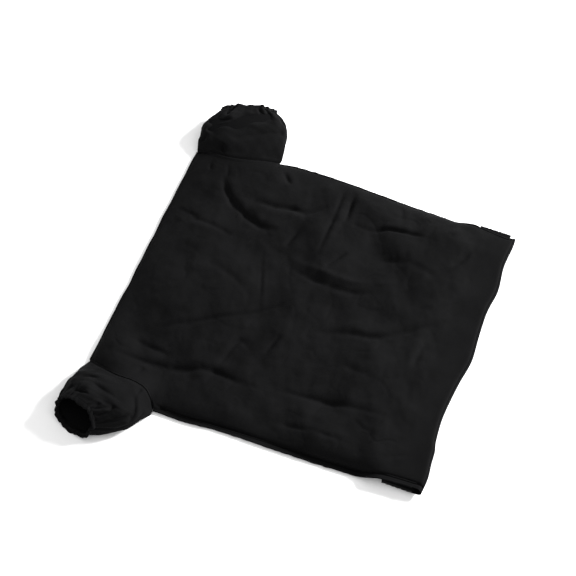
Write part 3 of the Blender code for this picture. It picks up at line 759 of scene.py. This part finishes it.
def add_fold_cloth():
    """The cloth that turns round the folded edge, from the body's top to the zip end's under face."""
    rows = TOP_ROWS
    top_y = body_plan(rows, 2)[1][:, -1]
    top_z = top_height(FOLD_X + fold_edge(top_y) - FOLD_ROUNDING, top_y)
    low_y = np.interp(top_y, (top_y[0], top_y[-1]), (ZIP_END_NEAR, ZIP_END_FAR))
    low_z = FOLD_Z - FOLD_BOTTOM
    columns = []
    upper, turn, lower = np.linspace(0.0, 0.2, 5), np.linspace(0.24, 0.86, 30), np.linspace(0.9, 1.0, 4)
    for t in np.concatenate((upper, turn, lower)):
        y = mix(top_y, low_y, smooth((t - 0.15) / 0.6))
        centre = FOLD_X + fold_edge(y) - FOLD_ROUNDING
        angle = math.pi * (0.5 - np.clip((t - 0.2) / 0.7, 0.0, 1.0))
        middle, half = (top_z + low_z) / 2, (top_z - low_z) / 2
        pressed = FOLD_GROOVE * math.exp(-(((math.degrees(angle) - GROOVE_ANGLE) / GROOVE_SPREAD) ** 2))
        pressed = pressed * (0.5 + 0.5 * smooth((y + 0.16) / 0.10))
        half = half - pressed
        x = centre + (FOLD_ROUNDING - pressed) * math.cos(angle)
        if t < 0.2:
            x = mix(STRIP_X, centre, t / 0.2)
        elif t > 0.9:
            x = mix(centre, FOLD_X - PANEL_START, (t - 0.9) / 0.1)
        z = middle + half * math.sin(angle)
        if t <= 0.2:
            z = top_height(x + 0 * y, y)
        columns.append(np.stack((x + 0 * y, y, z), -1))
    strip = add_sheet("fold_cloth", np.stack(columns, 1), OUTER)
    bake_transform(strip)


# ---------------------------------------------------------------- sleeves

AROUND = 156
SLEEVE_LIFT = 0.0004
CASING = 0.0065
RIM_RADIUS = 0.0012
ARMHOLE_SINK = 0.0016
ARMHOLE_GROOVE = 0.0030
ARMHOLE_HEIGHT = 0.026
GIRTH_RADIUS, SLEEVE_RUN = 0.045, 0.100
CLOSE_GATHER, BROAD_GATHER = 0.0021, 0.0030
SLEEVE_LINING_INSET, SLEEVE_LINING_LOWEST = 0.0042, 0.0020
BAND_INSET, BAND_WAVE = 0.0019, 0.0004
PIPING_RADIUS, PIPING_LOWEST, PIPING_PUCKER = 0.0013, 0.0014, 0.0004
SLEEVE_FOLD_DEPTH = 1.15

# Folds of a sleeve: points as (degrees round it, share of its length), with 90 degrees at its top
NEAR_SLEEVE_FOLDS = (
    (((36, 1.00), (48, 0.80), (62, 0.60)), 0.0062, 0.0040, 0.0022),
    (((12, 1.00), (22, 0.76), (32, 0.52)), 0.0052, 0.0038, 0.0016),
    (((62, 1.00), (74, 0.80)), 0.0045, 0.0034, 0.0012),
    (((122, 0.88), (96, 0.82)), 0.0060, 0.0038, -0.0020),
    (((152, 0.98), (138, 0.76)), 0.0045, 0.0036, 0.0012),
    (((6, 0.58), (30, 0.38), (54, 0.20)), 0.0052, 0.0055, -0.0022),
    (((48, 0.02), (52, 0.16)), 0.0026, 0.0034, 0.0010),
    (((-10, 0.74), (2, 0.46), (14, 0.18)), 0.0034, 0.0048, 0.0014),
    (((108, 0.52), (76, 0.42)), 0.0026, 0.0070, 0.0010),
    (((160, 0.62), (130, 0.40), (112, 0.30)), 0.0030, 0.0060, 0.0012),
)
FAR_SLEEVE_FOLDS = (
    (((50, 0.88), (88, 0.72), (112, 0.54), (150, 0.42)), 0.0115, 0.0056, 0.0034),
    (((156, 0.66), (128, 0.62), (106, 0.68)), 0.0075, 0.0044, -0.0018),
    (((168, 0.18), (142, 0.34)), 0.0038, 0.0044, 0.0014),
    (((104, 0.26), (62, 0.42), (24, 0.52)), 0.0030, 0.0062, 0.0014),
    (((128, 0.98), (116, 0.80)), 0.0052, 0.0036, 0.0016),
    (((74, 1.00), (70, 0.86)), 0.0040, 0.0034, 0.0012),
    (((118, 0.04), (116, 0.18)), 0.0026, 0.0034, 0.0010),
    (((30, 0.86), (18, 0.62)), 0.0034, 0.0050, 0.0012),
)


class Sleeve:
    """One sleeve: its armhole line, where its cuff lies, and how wide and high it is on the way."""

    def __init__(
        self,
        side,
        outward,
        armhole,
        cuff,
        across,
        width,
        height,
        bulge,
        rise,
        taper,
        lean,
        belly,
        folds,
        seed,
    ):
        self.side = side
        self.outward = outward
        self.armhole = curve_through(armhole, AROUND // 2)
        self.cuff = np.array(cuff)
        self.across = np.array(across) / np.linalg.norm(across)
        self.out = outward * np.array((-self.across[1], self.across[0]))
        self.width, self.height = width, height
        self.bulge, self.rise = bulge, rise
        self.taper, self.lean, self.belly = taper, lean, np.array(belly)
        self.folds = [
            ([(math.radians(a) * GIRTH_RADIUS, share * SLEEVE_RUN) for a, share in points], *rest)
            for points, *rest in folds
        ]
        random = np.random.default_rng(seed)
        self.angle = 2 * math.pi * np.arange(AROUND) / AROUND
        start, end = self.armhole[0, :2], self.armhole[-1, :2]
        self.root = (start + end) / 2
        self.along = (end - start) / np.linalg.norm(end - start)
        self.spread = np.linalg.norm(end - start)
        self.gathers = random.uniform(0.75, 1.25, 40)

    def first_ring(self):
        """Over the arch of the armhole, and back along the surface."""
        upper = self.armhole[::-1]
        lower = self.armhole.copy()
        lower[:, 2] = SLEEVE_LIFT
        return np.vstack((upper, lower))

    def oval(self, centre, across, width, height, lift=SLEEVE_LIFT, power=2.3):
        c, s = np.cos(self.angle), np.sin(self.angle)
        sideways = np.sign(c) * np.abs(c) ** (2 / power) * width / 2
        up = np.sign(s) * np.abs(s) ** (2 / power) * height / 2
        place = centre[None, :] + across[None, :] * sideways[:, None]
        return np.column_stack((place, lift + height / 2 + up))

    def ring(self, share, inset=0.0):
        """The section at a share of the way to the cuff, without gathers."""
        hump = 4 * share * (1 - share)
        width = mix(self.spread, self.width, share**self.taper) + self.bulge * hump
        height = mix(ARMHOLE_HEIGHT, self.height, share) + self.rise * hump
        centre = mix(self.root, self.cuff, share) + self.belly * hump
        across = mix(self.along, self.across, smooth(share))
        across = across / np.linalg.norm(across)
        ring = self.oval(centre, across, width - 2 * inset, height - 2 * inset, SLEEVE_LIFT + inset)
        level = ring[:, 2] / height - 0.5
        ring[:, :2] -= self.out[None, :] * (self.lean * smooth(share / 0.9) * level)[:, None]
        plain = self.oval(self.root, self.along, self.spread, ARMHOLE_HEIGHT)
        pull = 1 - smooth(share / 0.45)
        return ring + (self.first_ring() - plain) * pull

    def gathered(self, ring, share):
        """Gathers round the tube: broad folds that split into close ones towards the cuff."""
        radial = ring - ring.mean(0)
        along = np.roll(ring, -1, 0) - np.roll(ring, 1, 0)
        facing = np.cross(along, np.array((*self.out, 0.0)))
        facing *= np.sign((facing * radial).sum(1))[:, None]
        facing /= np.maximum(np.linalg.norm(facing, axis=1), 1e-9)[:, None]
        a = self.angle
        g = self.gathers
        close = sum(g[k] * np.sin(n * a + 2.1 * g[k + 4] * 3) for k, n in enumerate((17, 23, 29))) / 3
        broad = sum(g[k] * np.sin(n * a + 4.0 * g[k] + 1.7 * share) for k, n in enumerate((5, 8, 11), 8)) / 3
        depth_close = CLOSE_GATHER * smooth((share - 0.60) / 0.35)
        depth_broad = BROAD_GATHER * smooth((share - 0.15) / 0.45)
        depth_broad *= 1 - 0.55 * smooth((share - 0.75) / 0.25)
        signed = (a + math.pi / 2) % (2 * math.pi) - math.pi / 2
        around = signed * GIRTH_RADIUS
        laid = fold_height(around, share * SLEEVE_RUN + 0 * around, self.folds)
        seam_calm = smooth(share / 0.10)
        crisp = 0.0007 * MIDDLE(around * 2.0, share * SLEEVE_RUN * 2.0 + 0 * around) * seam_calm
        change = depth_close * close + depth_broad * broad + SLEEVE_FOLD_DEPTH * laid * seam_calm + crisp
        change = change - ARMHOLE_GROOVE * math.exp(-((share / 0.035) ** 2))
        moved = ring + facing * change[:, None]
        moved[:, 2] = np.maximum(moved[:, 2], SLEEVE_LIFT)
        return moved

    def cloth_grid(self):
        """The sleeve's cloth from the armhole to its rim, and turned in round the elastic."""
        shares = np.linspace(0.0, 1.0, 58)
        rings = [self.gathered(self.ring(s), s) for s in shares]
        last = self.gathered(self.ring(1.0), 1.0)
        out = np.array((*self.out, 0.0))
        radial = outward_from_middle(last)
        flare = 0.0010 * np.sin(19 * self.angle + self.gathers[20] * 5) + 0.0012 * np.sin(7 * self.angle)
        for step in np.linspace(0.12, 1.0, 8):
            pinch = -0.0006 * math.exp(-((step - 0.12) / 0.12) ** 2)
            rings.append(last + out * CASING * step + radial * (pinch + flare * step)[:, None])
        rim = rings[-1]
        for turn in np.linspace(0.25, 1.0, 4) * math.pi:
            inward = radial * RIM_RADIUS * (math.cos(turn) - 1)
            rings.append(rim + inward + out * RIM_RADIUS * math.sin(turn))
        back = rings[-1]
        for step in np.linspace(0.15, 1.0, 6):
            rings.append(back - out * (CASING - 0.001) * step - radial * 0.0006 * step)
        grid = np.stack(rings)
        grid[..., 2] = np.maximum(grid[..., 2], SLEEVE_LIFT)
        return grid


def outward_from_middle(ring):
    offset = ring - ring.mean(0)
    return offset / np.linalg.norm(offset, axis=1)[:, None]


def add_sleeve(sleeve):
    side = sleeve.side
    joint = JOINTS[f"{side}_sleeve_lift"]
    axis = Vector(joint["axis"])
    leaving = Vector((axis.y, -axis.x, 0.0)).normalized()
    if leaving.y * sleeve.outward < 0:
        leaving.negate()

    grid = sleeve.cloth_grid()
    cloth = add_sheet(
        f"{side}_sleeve_cloth", grid, OUTER, closed=True, flip=side == "near", thickness=0.0
    )
    smoothing = cloth.modifiers.new("finer cloth", "SUBSURF")
    smoothing.levels = smoothing.render_levels = 1
    keep_modifiers(cloth)
    give_thickness(cloth)
    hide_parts(f"{side}_sleeve_outer", f"{side}_cuff_casing")

    shares = np.linspace(0.0, 0.97, 30)
    inner = np.stack([sleeve.ring(s, inset=SLEEVE_LINING_INSET) for s in shares])
    inner[..., 2] = np.maximum(inner[..., 2], SLEEVE_LINING_LOWEST)
    lining = add_sheet(
        f"{side}_sleeve_inner_cloth", inner, LINING, closed=True, flip=side == "near"
    )
    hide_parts(f"{side}_sleeve_lining")

    last = sleeve.ring(1.0)
    radial = outward_from_middle(last)
    out = np.array((*sleeve.out, 0.0))
    wave = BAND_WAVE * np.sin(22 * sleeve.angle)
    band_rings = [
        last + out * step - radial * (BAND_INSET + wave)[:, None] for step in np.linspace(0.0014, 0.0048, 5)
    ]
    band = add_sheet(
        f"{side}_elastic_band", np.stack(band_rings), ELASTIC, closed=True, thickness=0.0006
    )
    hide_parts(f"{side}_cuff_elastic")
    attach(band, f"{side}_sleeve")
    for piece in (cloth, lining):
        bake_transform(piece)

    line = sleeve.first_ring()
    line[:, 2] = np.maximum(line[:, 2] - ARMHOLE_SINK, PIPING_LOWEST)
    pucker = PIPING_PUCKER * np.sin(2 * math.pi * np.arange(AROUND) * 26 / AROUND)
    line[:, 2] += np.maximum(pucker, 0)
    name = f"{side}_armhole_turned_seam"
    piping = add_tube(name, line, circle(PIPING_RADIUS, 8), THREAD, closed=True)
    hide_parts(f"{side}_armhole_seam")
    over = sleeve.armhole[3:-3].copy()
    over[:, 1] -= sleeve.outward * 0.0042
    over[:, 2] = top_height(over[:, 0], over[:, 1])
    stitches = add_stitches(f"{side}_armhole_stitching", over, STITCH, STITCH_GAP, STITCH_RADIUS)
    for piece in (piping, stitches):
        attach(piece, "bag_body")


def add_sleeves():
    near = Sleeve(
        side="near", outward=-1.0, armhole=NEAR_ARMHOLE, cuff=(-0.2625, -0.3400), across=(0.95, -0.30),
        width=0.080, height=0.049, bulge=0.000, rise=0.008, taper=2.6, lean=0.036, belly=(0.006, -0.006),
        folds=NEAR_SLEEVE_FOLDS, seed=5,
    )
    far = Sleeve(
        side="far", outward=1.0, armhole=FAR_ARMHOLE, cuff=(-0.2215, 0.3385), across=(1.0, 0.32),
        width=0.102, height=0.037, bulge=0.006, rise=0.010, taper=5.0, lean=-0.006, belly=(0.002, 0.0),
        folds=FAR_SLEEVE_FOLDS, seed=9,
    )
    for sleeve in (near, far):
        add_sleeve(sleeve)


# ---------------------------------------------------------------- zip end

ZIP_END_NEAR, ZIP_END_FAR = -0.2640, 0.2655
ZIP_END_LENGTH = 0.057
ZIP_ROWS = 150
WINDOW = 0.0070
TOOTH_PITCH = 0.0017
PANEL_OVER_TAPE = 0.0017
HEM_FOLD_RADIUS, HEM_FOLD_DEPTH = 0.00035, 0.0050
CORNER_RADIUS = 0.0018
END_SEAM_RADIUS = 0.0013
TAPE_EDGE, TAPE_OUTER_EDGE, TAPE_THICKNESS = 0.0007, 0.0110, 0.0003
PULL_OVER_TAPE = 0.0040
SLIDER_WIDTH, SLIDER_LENGTH = 0.0066, 0.0090
PLATE, PLATE_BEVEL, PLATE_OVER, PLATE_UNDER = 0.0008, 0.00022, 0.0023, -0.0011
BAIL_WIDTH, BAIL_FOOT = 0.0016, 0.0031
PULL_HALF_WIDTH, PULL_LENGTH, PULL_HALF_THICKNESS = 0.0025, 0.0200, 0.0005


def lie(y, amount=0.00025):
    """The slight wave that the whole zip end shares, so that its layers stay apart."""
    return amount * np.sin(2 * math.pi * y / 0.137 + 0.6) + 0.4 * amount * np.sin(2 * math.pi * y / 0.052)


def under(points):
    """From the unfolded zip end's own frame to its place under the body: half a turn about the fold."""
    points = np.asarray(points, float)
    lifted = points[..., 2] + lie(points[..., 1])
    return np.stack((FOLD_X - points[..., 0], points[..., 1], FOLD_Z - lifted), -1)


def add_profile_sheet(name, profile, near, far, material, flip=False, thickness=CLOTH):
    """A cloth strip of one section (x, z), run from the near side to the far one."""
    y = np.linspace(near, far, ZIP_ROWS)
    profile = np.asarray(profile, float)
    grid = np.empty((ZIP_ROWS, len(profile), 3))
    grid[..., 0] = profile[None, :, 0]
    grid[..., 1] = y[:, None]
    grid[..., 2] = profile[None, :, 1]
    grid[..., 2] += 0.00008 * FINE(grid[..., 0], grid[..., 1])
    return add_sheet(name, under(grid), material, flip=flip, thickness=thickness)


def line(start, end, count):
    return [tuple(mix(np.array(start), np.array(end), t)) for t in np.linspace(0.0, 1.0, count)]


def rounded_corner(centre, radius, first, last, count=5):
    """Points round an arc, from the first angle to the last, in degrees."""
    angles = np.radians(np.linspace(first, last, count))
    return [(centre[0] + radius * math.cos(a), centre[1] + radius * math.sin(a)) for a in angles]


def hem(edge_x, z, side):
    """The folded edge of a panel beside a zip: turned back on itself for a few millimetres."""
    radius = HEM_FOLD_RADIUS
    first, last = (90, -90) if side > 0 else (90, 270)
    turned = rounded_corner((edge_x - side * radius, z - radius), radius, first, last, 5)
    return turned + line(turned[-1], (edge_x - side * HEM_FOLD_DEPTH, z - 2 * radius), 4)


def add_zip_panels(layer, spec, material):
    """The top panel up to the zip, the facing beyond it, the bottom panel, and the closed sides."""
    start, chain, end, tape_z, bottom_z, near, far = spec
    top_z = tape_z + PANEL_OVER_TAPE
    top = line((start, top_z), (chain - WINDOW - 0.0004, top_z), 10) + hem(chain - WINDOW, top_z, 1)
    panel = add_profile_sheet(f"zip_end_{layer}_top_cloth", top, near, far, material)
    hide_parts(f"zip_end_{layer}_top")
    # The strip turns round the end of the panel and back to the zip.
    corner = CORNER_RADIUS
    facing = line((end, bottom_z), (end, top_z - corner), 5)
    facing += rounded_corner((end - corner, top_z - corner), corner, 0, 90, 6)
    facing += line((end - 0.003, top_z), (chain + WINDOW + 0.0004, top_z), 3)
    facing += hem(chain + WINDOW, top_z, -1)
    turned = add_profile_sheet(f"{layer}_zip_facing_cloth", facing, near, far, material, flip=True)
    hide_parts(f"{layer}_zip_facing")
    bottom = line((0.0006, bottom_z), (end, bottom_z), 24)
    base = add_profile_sheet(f"zip_end_{layer}_bottom_cloth", bottom, near, far, material, flip=True)
    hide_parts(f"zip_end_{layer}_bottom")

    pieces = [panel, turned, base]
    for side, edge, sign in (("near", near, -1.0), ("far", far, 1.0)):
        name = f"zip_end_{side}_turned_seam" if layer == "outer" else f"zip_end_{side}_lining_turned_seam"
        middle = (top_z + bottom_z) / 2
        x = np.linspace(max(start - 0.004, 0.0010), end - 0.0004, 60)
        path = np.stack((x, edge + 0.0003 * sign * np.sin(x * 700), middle + 0 * x), 1)
        height = (top_z - bottom_z) / 2
        section = circle(END_SEAM_RADIUS, 12, height / END_SEAM_RADIUS)
        seam = add_tube(name, under(path), section, material)
        node = f"zip_end_{side}_seam" if layer == "outer" else f"zip_end_{side}_lining_seam"
        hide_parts(node)
        pieces.append(seam)

    for number, x in enumerate((chain - WINDOW - 0.0022, chain + WINDOW + 0.0022)):
        y = np.linspace(near + 0.004, far - 0.004, 300)
        path = np.stack((x + 0 * y, y, top_z + 0 * y), 1)
        row = under(path)
        name = f"{layer}_zip_stitching_{number + 1}"
        stitches = add_stitches(name, row, STITCH, STITCH_GAP, ZIP_STITCH_RADIUS, -ZIP_STITCH_SINK)
        pieces.append(stitches)
    for piece in pieces:
        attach(piece, "zip_end")


def add_teeth(name, inner_x, side, near, far, z):
    """One side of a coil chain: a row of nylon loops from the tape to the middle of the chain."""
    vertices, faces = [], []
    profile = ((0.0024, 0.45), (0.0018, 0.95), (0.0006, 1.0), (-0.0001, 0.8))
    offset = TOOTH_PITCH / 2 if side > 0 else 0.0
    ring = circle(0.00042, 6, 1.25)
    y = near + offset
    while y < far:
        base = len(vertices)
        for out, size in profile:
            for across, up in ring * size:
                vertices.append((inner_x + side * out, y + across, z + up))
        faces += [tuple(f + base) for f in sheet_faces(len(profile), 6, closed=True)]
        faces.append(tuple(base + k for k in range(6)))
        faces.append(tuple(base + 18 + k for k in range(5, -1, -1)))
        y += TOOTH_PITCH
    return face_outward(add_mesh(name, under(np.array(vertices)), faces, NYLON))


def extruded(corners, step):
    """A solid from one flat face, drawn out by a step, as a bmesh."""
    shape = bmesh.new()
    face = shape.faces.new([shape.verts.new(corner) for corner in corners])
    raised = bmesh.ops.extrude_face_region(shape, geom=[face])
    moved = [v for v in raised["geom"] if isinstance(v, bmesh.types.BMVert)]
    bmesh.ops.translate(shape, vec=step, verts=moved)
    bmesh.ops.recalc_face_normals(shape, faces=shape.faces)
    return shape


def bevelled(outline, low, high, bevel, segments=2):
    """A plate of one outline, with rounded edges, as a bmesh."""
    shape = extruded([(x, y, low) for x, y in outline], (0, 0, high - low))
    sharp = [e for e in shape.edges if abs(e.verts[0].co.z - e.verts[1].co.z) < 1e-7]
    bmesh.ops.bevel(shape, geom=sharp, offset=bevel, segments=segments, profile=0.5, affect="EDGES")
    return shape


def merge(name, shapes, material, place):
    """Joins bmeshes into one object, moved to its place in the zip end's frame and turned under."""
    mesh = bpy.data.meshes.new(name)
    joined = bmesh.new()
    for shape in shapes:
        part = bpy.data.meshes.new("part")
        shape.to_mesh(part)
        shape.free()
        joined.from_mesh(part)
        bpy.data.meshes.remove(part)
    joined.to_mesh(mesh)
    joined.free()
    half_turn = Matrix.Translation((FOLD_X, 0, FOLD_Z)) @ Matrix.Rotation(math.pi, 4, "Y")
    mesh.transform(half_turn @ Matrix.Translation(place))
    mesh.shade_smooth()
    mesh.set_sharp_from_angle(angle=math.radians(40))
    mesh.materials.append(material)
    obj = bpy.data.objects.new(name, mesh)
    link(obj)
    return obj


def slider_outline(width, length):
    """A slider plate seen from above: a broad rounded nose, waisted to a narrower tail."""
    half = width / 2
    points = []
    for k in range(9):
        angle = math.pi * k / 8
        points.append((half * math.cos(angle), length / 2 - half * 0.75 + half * 0.75 * math.sin(angle)))
    tail = half * 0.78
    points += [(-half * 0.92, 0.0), (-tail, -length * 0.28), (-tail * 0.9, -length / 2)]
    points += [(tail * 0.9, -length / 2), (tail, -length * 0.28), (half * 0.92, 0.0)]
    return points


def add_slider(layer, chain, y, tape_z):
    outline = slider_outline(SLIDER_WIDTH, SLIDER_LENGTH)
    plates = [bevelled(outline, low, low + PLATE, PLATE_BEVEL) for low in (PLATE_OVER, PLATE_UNDER)]
    post = [(0.00035 * x, 0.0029 + 0.0013 * y_) for x, y_ in ((1, -1), (1, 1), (-1, 1), (-1, -1))]
    plates.append(bevelled(post, -0.0007, 0.0027, 0.0001))
    crown = []
    for k in range(11):
        angle = math.pi * k / 10
        crown.append((0.0022 * math.cos(angle), BAIL_FOOT + 0.0025 * math.sin(angle) ** 0.7))
    inside = [(u * 0.62, BAIL_FOOT + (w - BAIL_FOOT) * 0.78) for u, w in reversed(crown)]
    bail = [(-BAIL_WIDTH / 2, u, w - 0.0002) for u, w in crown + inside]
    plates.append(extruded(bail, (BAIL_WIDTH, 0, 0)))
    slider = merge(f"{layer}_slider", plates, ENAMEL, (chain, y, tape_z))
    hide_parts(f"{layer}_zip_slider")
    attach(slider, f"{layer}_slider")


def add_pull(layer, chain, y, tape_z):
    """A flat pull with a slot for the bail, a waist, and a rounded grip with raised ribs."""
    half, length, thick = PULL_HALF_WIDTH, PULL_LENGTH, PULL_HALF_THICKNESS
    frame_parts = [
        [(-half, 0.0005), (half, 0.0005), (half, -0.0005), (-half, -0.0005)],
        [(-half, -0.0003), (-0.0013, -0.0003), (-0.0013, -0.0042), (-half, -0.0042)],
        [(0.0013, -0.0003), (half, -0.0003), (half, -0.0042), (0.0013, -0.0042)],
    ]
    grip = [(-half, -0.0038), (half, -0.0038), (half * 0.8, -0.0070), (half, -0.0105)]
    tip_y = -length + half
    for k in range(9):
        angle = -math.pi * k / 8
        grip.append((half * math.cos(angle), tip_y + half * math.sin(angle)))
    grip += [(-half, -0.0105), (-half * 0.8, -0.0070)]
    shapes = [bevelled(part[::-1], -thick, thick, 0.00015) for part in frame_parts]
    shapes.append(bevelled(grip[::-1], -thick, thick, 0.0002))
    for k in range(5):
        middle = -0.0115 - 0.0012 * k
        low, high = middle - 0.0002, middle + 0.0002
        rib = [(-0.0015, low), (0.0015, low), (0.0015, high), (-0.0015, high)]
        shapes.append(bevelled(rib, thick - 0.0001, thick + 0.0002, 0.00008, 1))
    pull = merge(f"{layer}_pull_tab", shapes, ENAMEL, (chain, y, tape_z + PULL_OVER_TAPE))
    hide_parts(f"{layer}_zip_pull")
    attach(pull, f"{layer}_pull")


def add_zip(layer, spec):
    """One closed zip: woven tapes with a corded edge, both rows of teeth, stops, slider and pull."""
    _, chain, _, tape_z, _, near, far = spec
    tape_near, tape_far = near + 0.003, far - 0.003
    slider_y = JOINTS[f"{layer}_pull_swing"]["pos_m"][1]
    chain_near, chain_far = tape_near + 0.009, slider_y + 0.0049
    pieces = []
    for place, side in (("fold_side", -1), ("end_side", 1)):
        inner, outer = chain + side * TAPE_EDGE, chain + side * TAPE_OUTER_EDGE
        cord = [(inner + side * x, tape_z + z) for x, z in ((0, 0.0003), (0.0004, 0.0006), (0.0012, 0.0006))]
        section = cord + line((inner + side * 0.0016, tape_z + 0.0004), (outer, tape_z + 0.0004), 7)
        tape = add_profile_sheet(
            f"{layer}_zip_{place}_woven_tape", section, tape_near, tape_far, TAPE, flip=side < 0,
            thickness=TAPE_THICKNESS,
        )
        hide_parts(f"{layer}_zip_{place}_tape")
        name = f"{layer}_zip_{place}_teeth"
        coil = add_teeth(name, chain + side * 0.0003, side, chain_near, chain_far, tape_z + 0.0014)
        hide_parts(f"{layer}_zip_{place}_coil")
        pieces += [tape, coil]
    stops = (("top", chain_far + 0.0004), ("bottom", chain_near - 0.0029))
    for kind, low_y in stops:
        outline = [(-0.0028, 0), (0.0028, 0), (0.0030, 0.0012)]
        outline += [(0.0028, 0.0025), (-0.0028, 0.0025), (-0.0030, 0.0012)]
        shapes = [bevelled(outline, 0.0008, 0.0020, 0.0003)]
        stop = merge(f"{layer}_zip_{kind}_stop_clip", shapes, ENAMEL, (chain, low_y, tape_z))
        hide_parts(f"{layer}_zip_{kind}_stop")
        pieces.append(stop)
    for piece in pieces:
        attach(piece, "zip_end")
    add_slider(layer, chain, slider_y, tape_z)
    add_pull(layer, chain, slider_y, tape_z)


def add_zip_end():
    # start, chain, end, tape height, bottom height, near side, far side
    outer = (PANEL_START, 0.0415, ZIP_END_LENGTH, 0.0089, 0.0008, ZIP_END_NEAR, ZIP_END_FAR)
    inner = (0.0008, 0.0175, 0.0330, 0.0038, 0.0017, ZIP_END_NEAR + 0.008, ZIP_END_FAR - 0.008)
    add_zip_panels("outer", outer, OUTER)
    add_zip_panels("inner", inner, LINING)
    add_zip("outer", outer)
    add_zip("inner", inner)


# ---------------------------------------------------------------- seams hidden inside


def finish_lining_seams():
    """The lining's seams keep their CAD shape, inside the bag, with the seam's own material."""
    for name in ("near_side_lining_seam", "far_side_lining_seam", "closed_end_lining_seam"):
        node = frame["nodes"][name]
        node.data.materials.clear()
        node.data.materials.append(THREAD)


# ---------------------------------------------------------------- studio


FLOOR_Z = -0.0003
SURROUND_STRENGTH = 0.98
KEY_PLACE, KEY_SIZE, KEY_POWER = (2.45, 2.30, 1.75), 1.0, 450.0
LENS, SENSOR_WIDTH = 112.5, 36.0
CAMERA_PLACE, CAMERA_TARGET = (0.5465, -1.4500, 2.7450), (-0.0243, 0.0290, 0.0)


def aim(obj, place, target):
    """Puts a lamp or camera at its place, facing the target."""
    obj.location = place
    obj.rotation_euler = (Vector(target) - Vector(place)).to_track_quat("-Z", "Y").to_euler()
    link(obj)


def add_studio():
    """A pale floor, an even white surround and one soft light beyond the far folded corner."""
    bpy.ops.mesh.primitive_plane_add(size=14.0, location=(0, 0, FLOOR_Z))
    floor = bpy.context.object
    floor.name = "studio_floor"
    pale = bpy.data.materials.new("studio_floor")
    pale.use_nodes = True
    shader = pale.node_tree.nodes["Principled BSDF"]
    shader.inputs["Base Color"].default_value = (0.92, 0.92, 0.92, 1.0)
    shader.inputs["Roughness"].default_value = 0.95
    shader.inputs["Specular IOR Level"].default_value = 0.1
    floor.data.materials.append(pale)

    world = bpy.data.worlds.new("studio")
    world.use_nodes = True
    world.node_tree.nodes["Background"].inputs["Color"].default_value = (1.0, 1.0, 1.0, 1.0)
    world.node_tree.nodes["Background"].inputs["Strength"].default_value = SURROUND_STRENGTH
    bpy.context.scene.world = world

    key = bpy.data.lights.new("key", "AREA")
    key.shape = "DISK"
    key.size = KEY_SIZE
    key.energy = KEY_POWER
    aim(bpy.data.objects.new("key", key), KEY_PLACE, (0.0, 0.0, 0.0))
    bpy.context.scene.view_settings.view_transform = "Standard"


def add_camera():
    data = bpy.data.cameras.new("camera")
    data.lens = LENS
    data.sensor_width = SENSOR_WIDTH
    camera = bpy.data.objects.new("camera", data)
    aim(camera, CAMERA_PLACE, CAMERA_TARGET)
    bpy.context.scene.camera = camera


# ---------------------------------------------------------------- the whole bag

add_camera()
add_studio()
add_body_cloth()
add_body_seams()
add_fold_cloth()
add_sleeves()
add_zip_end()
finish_lining_seams()
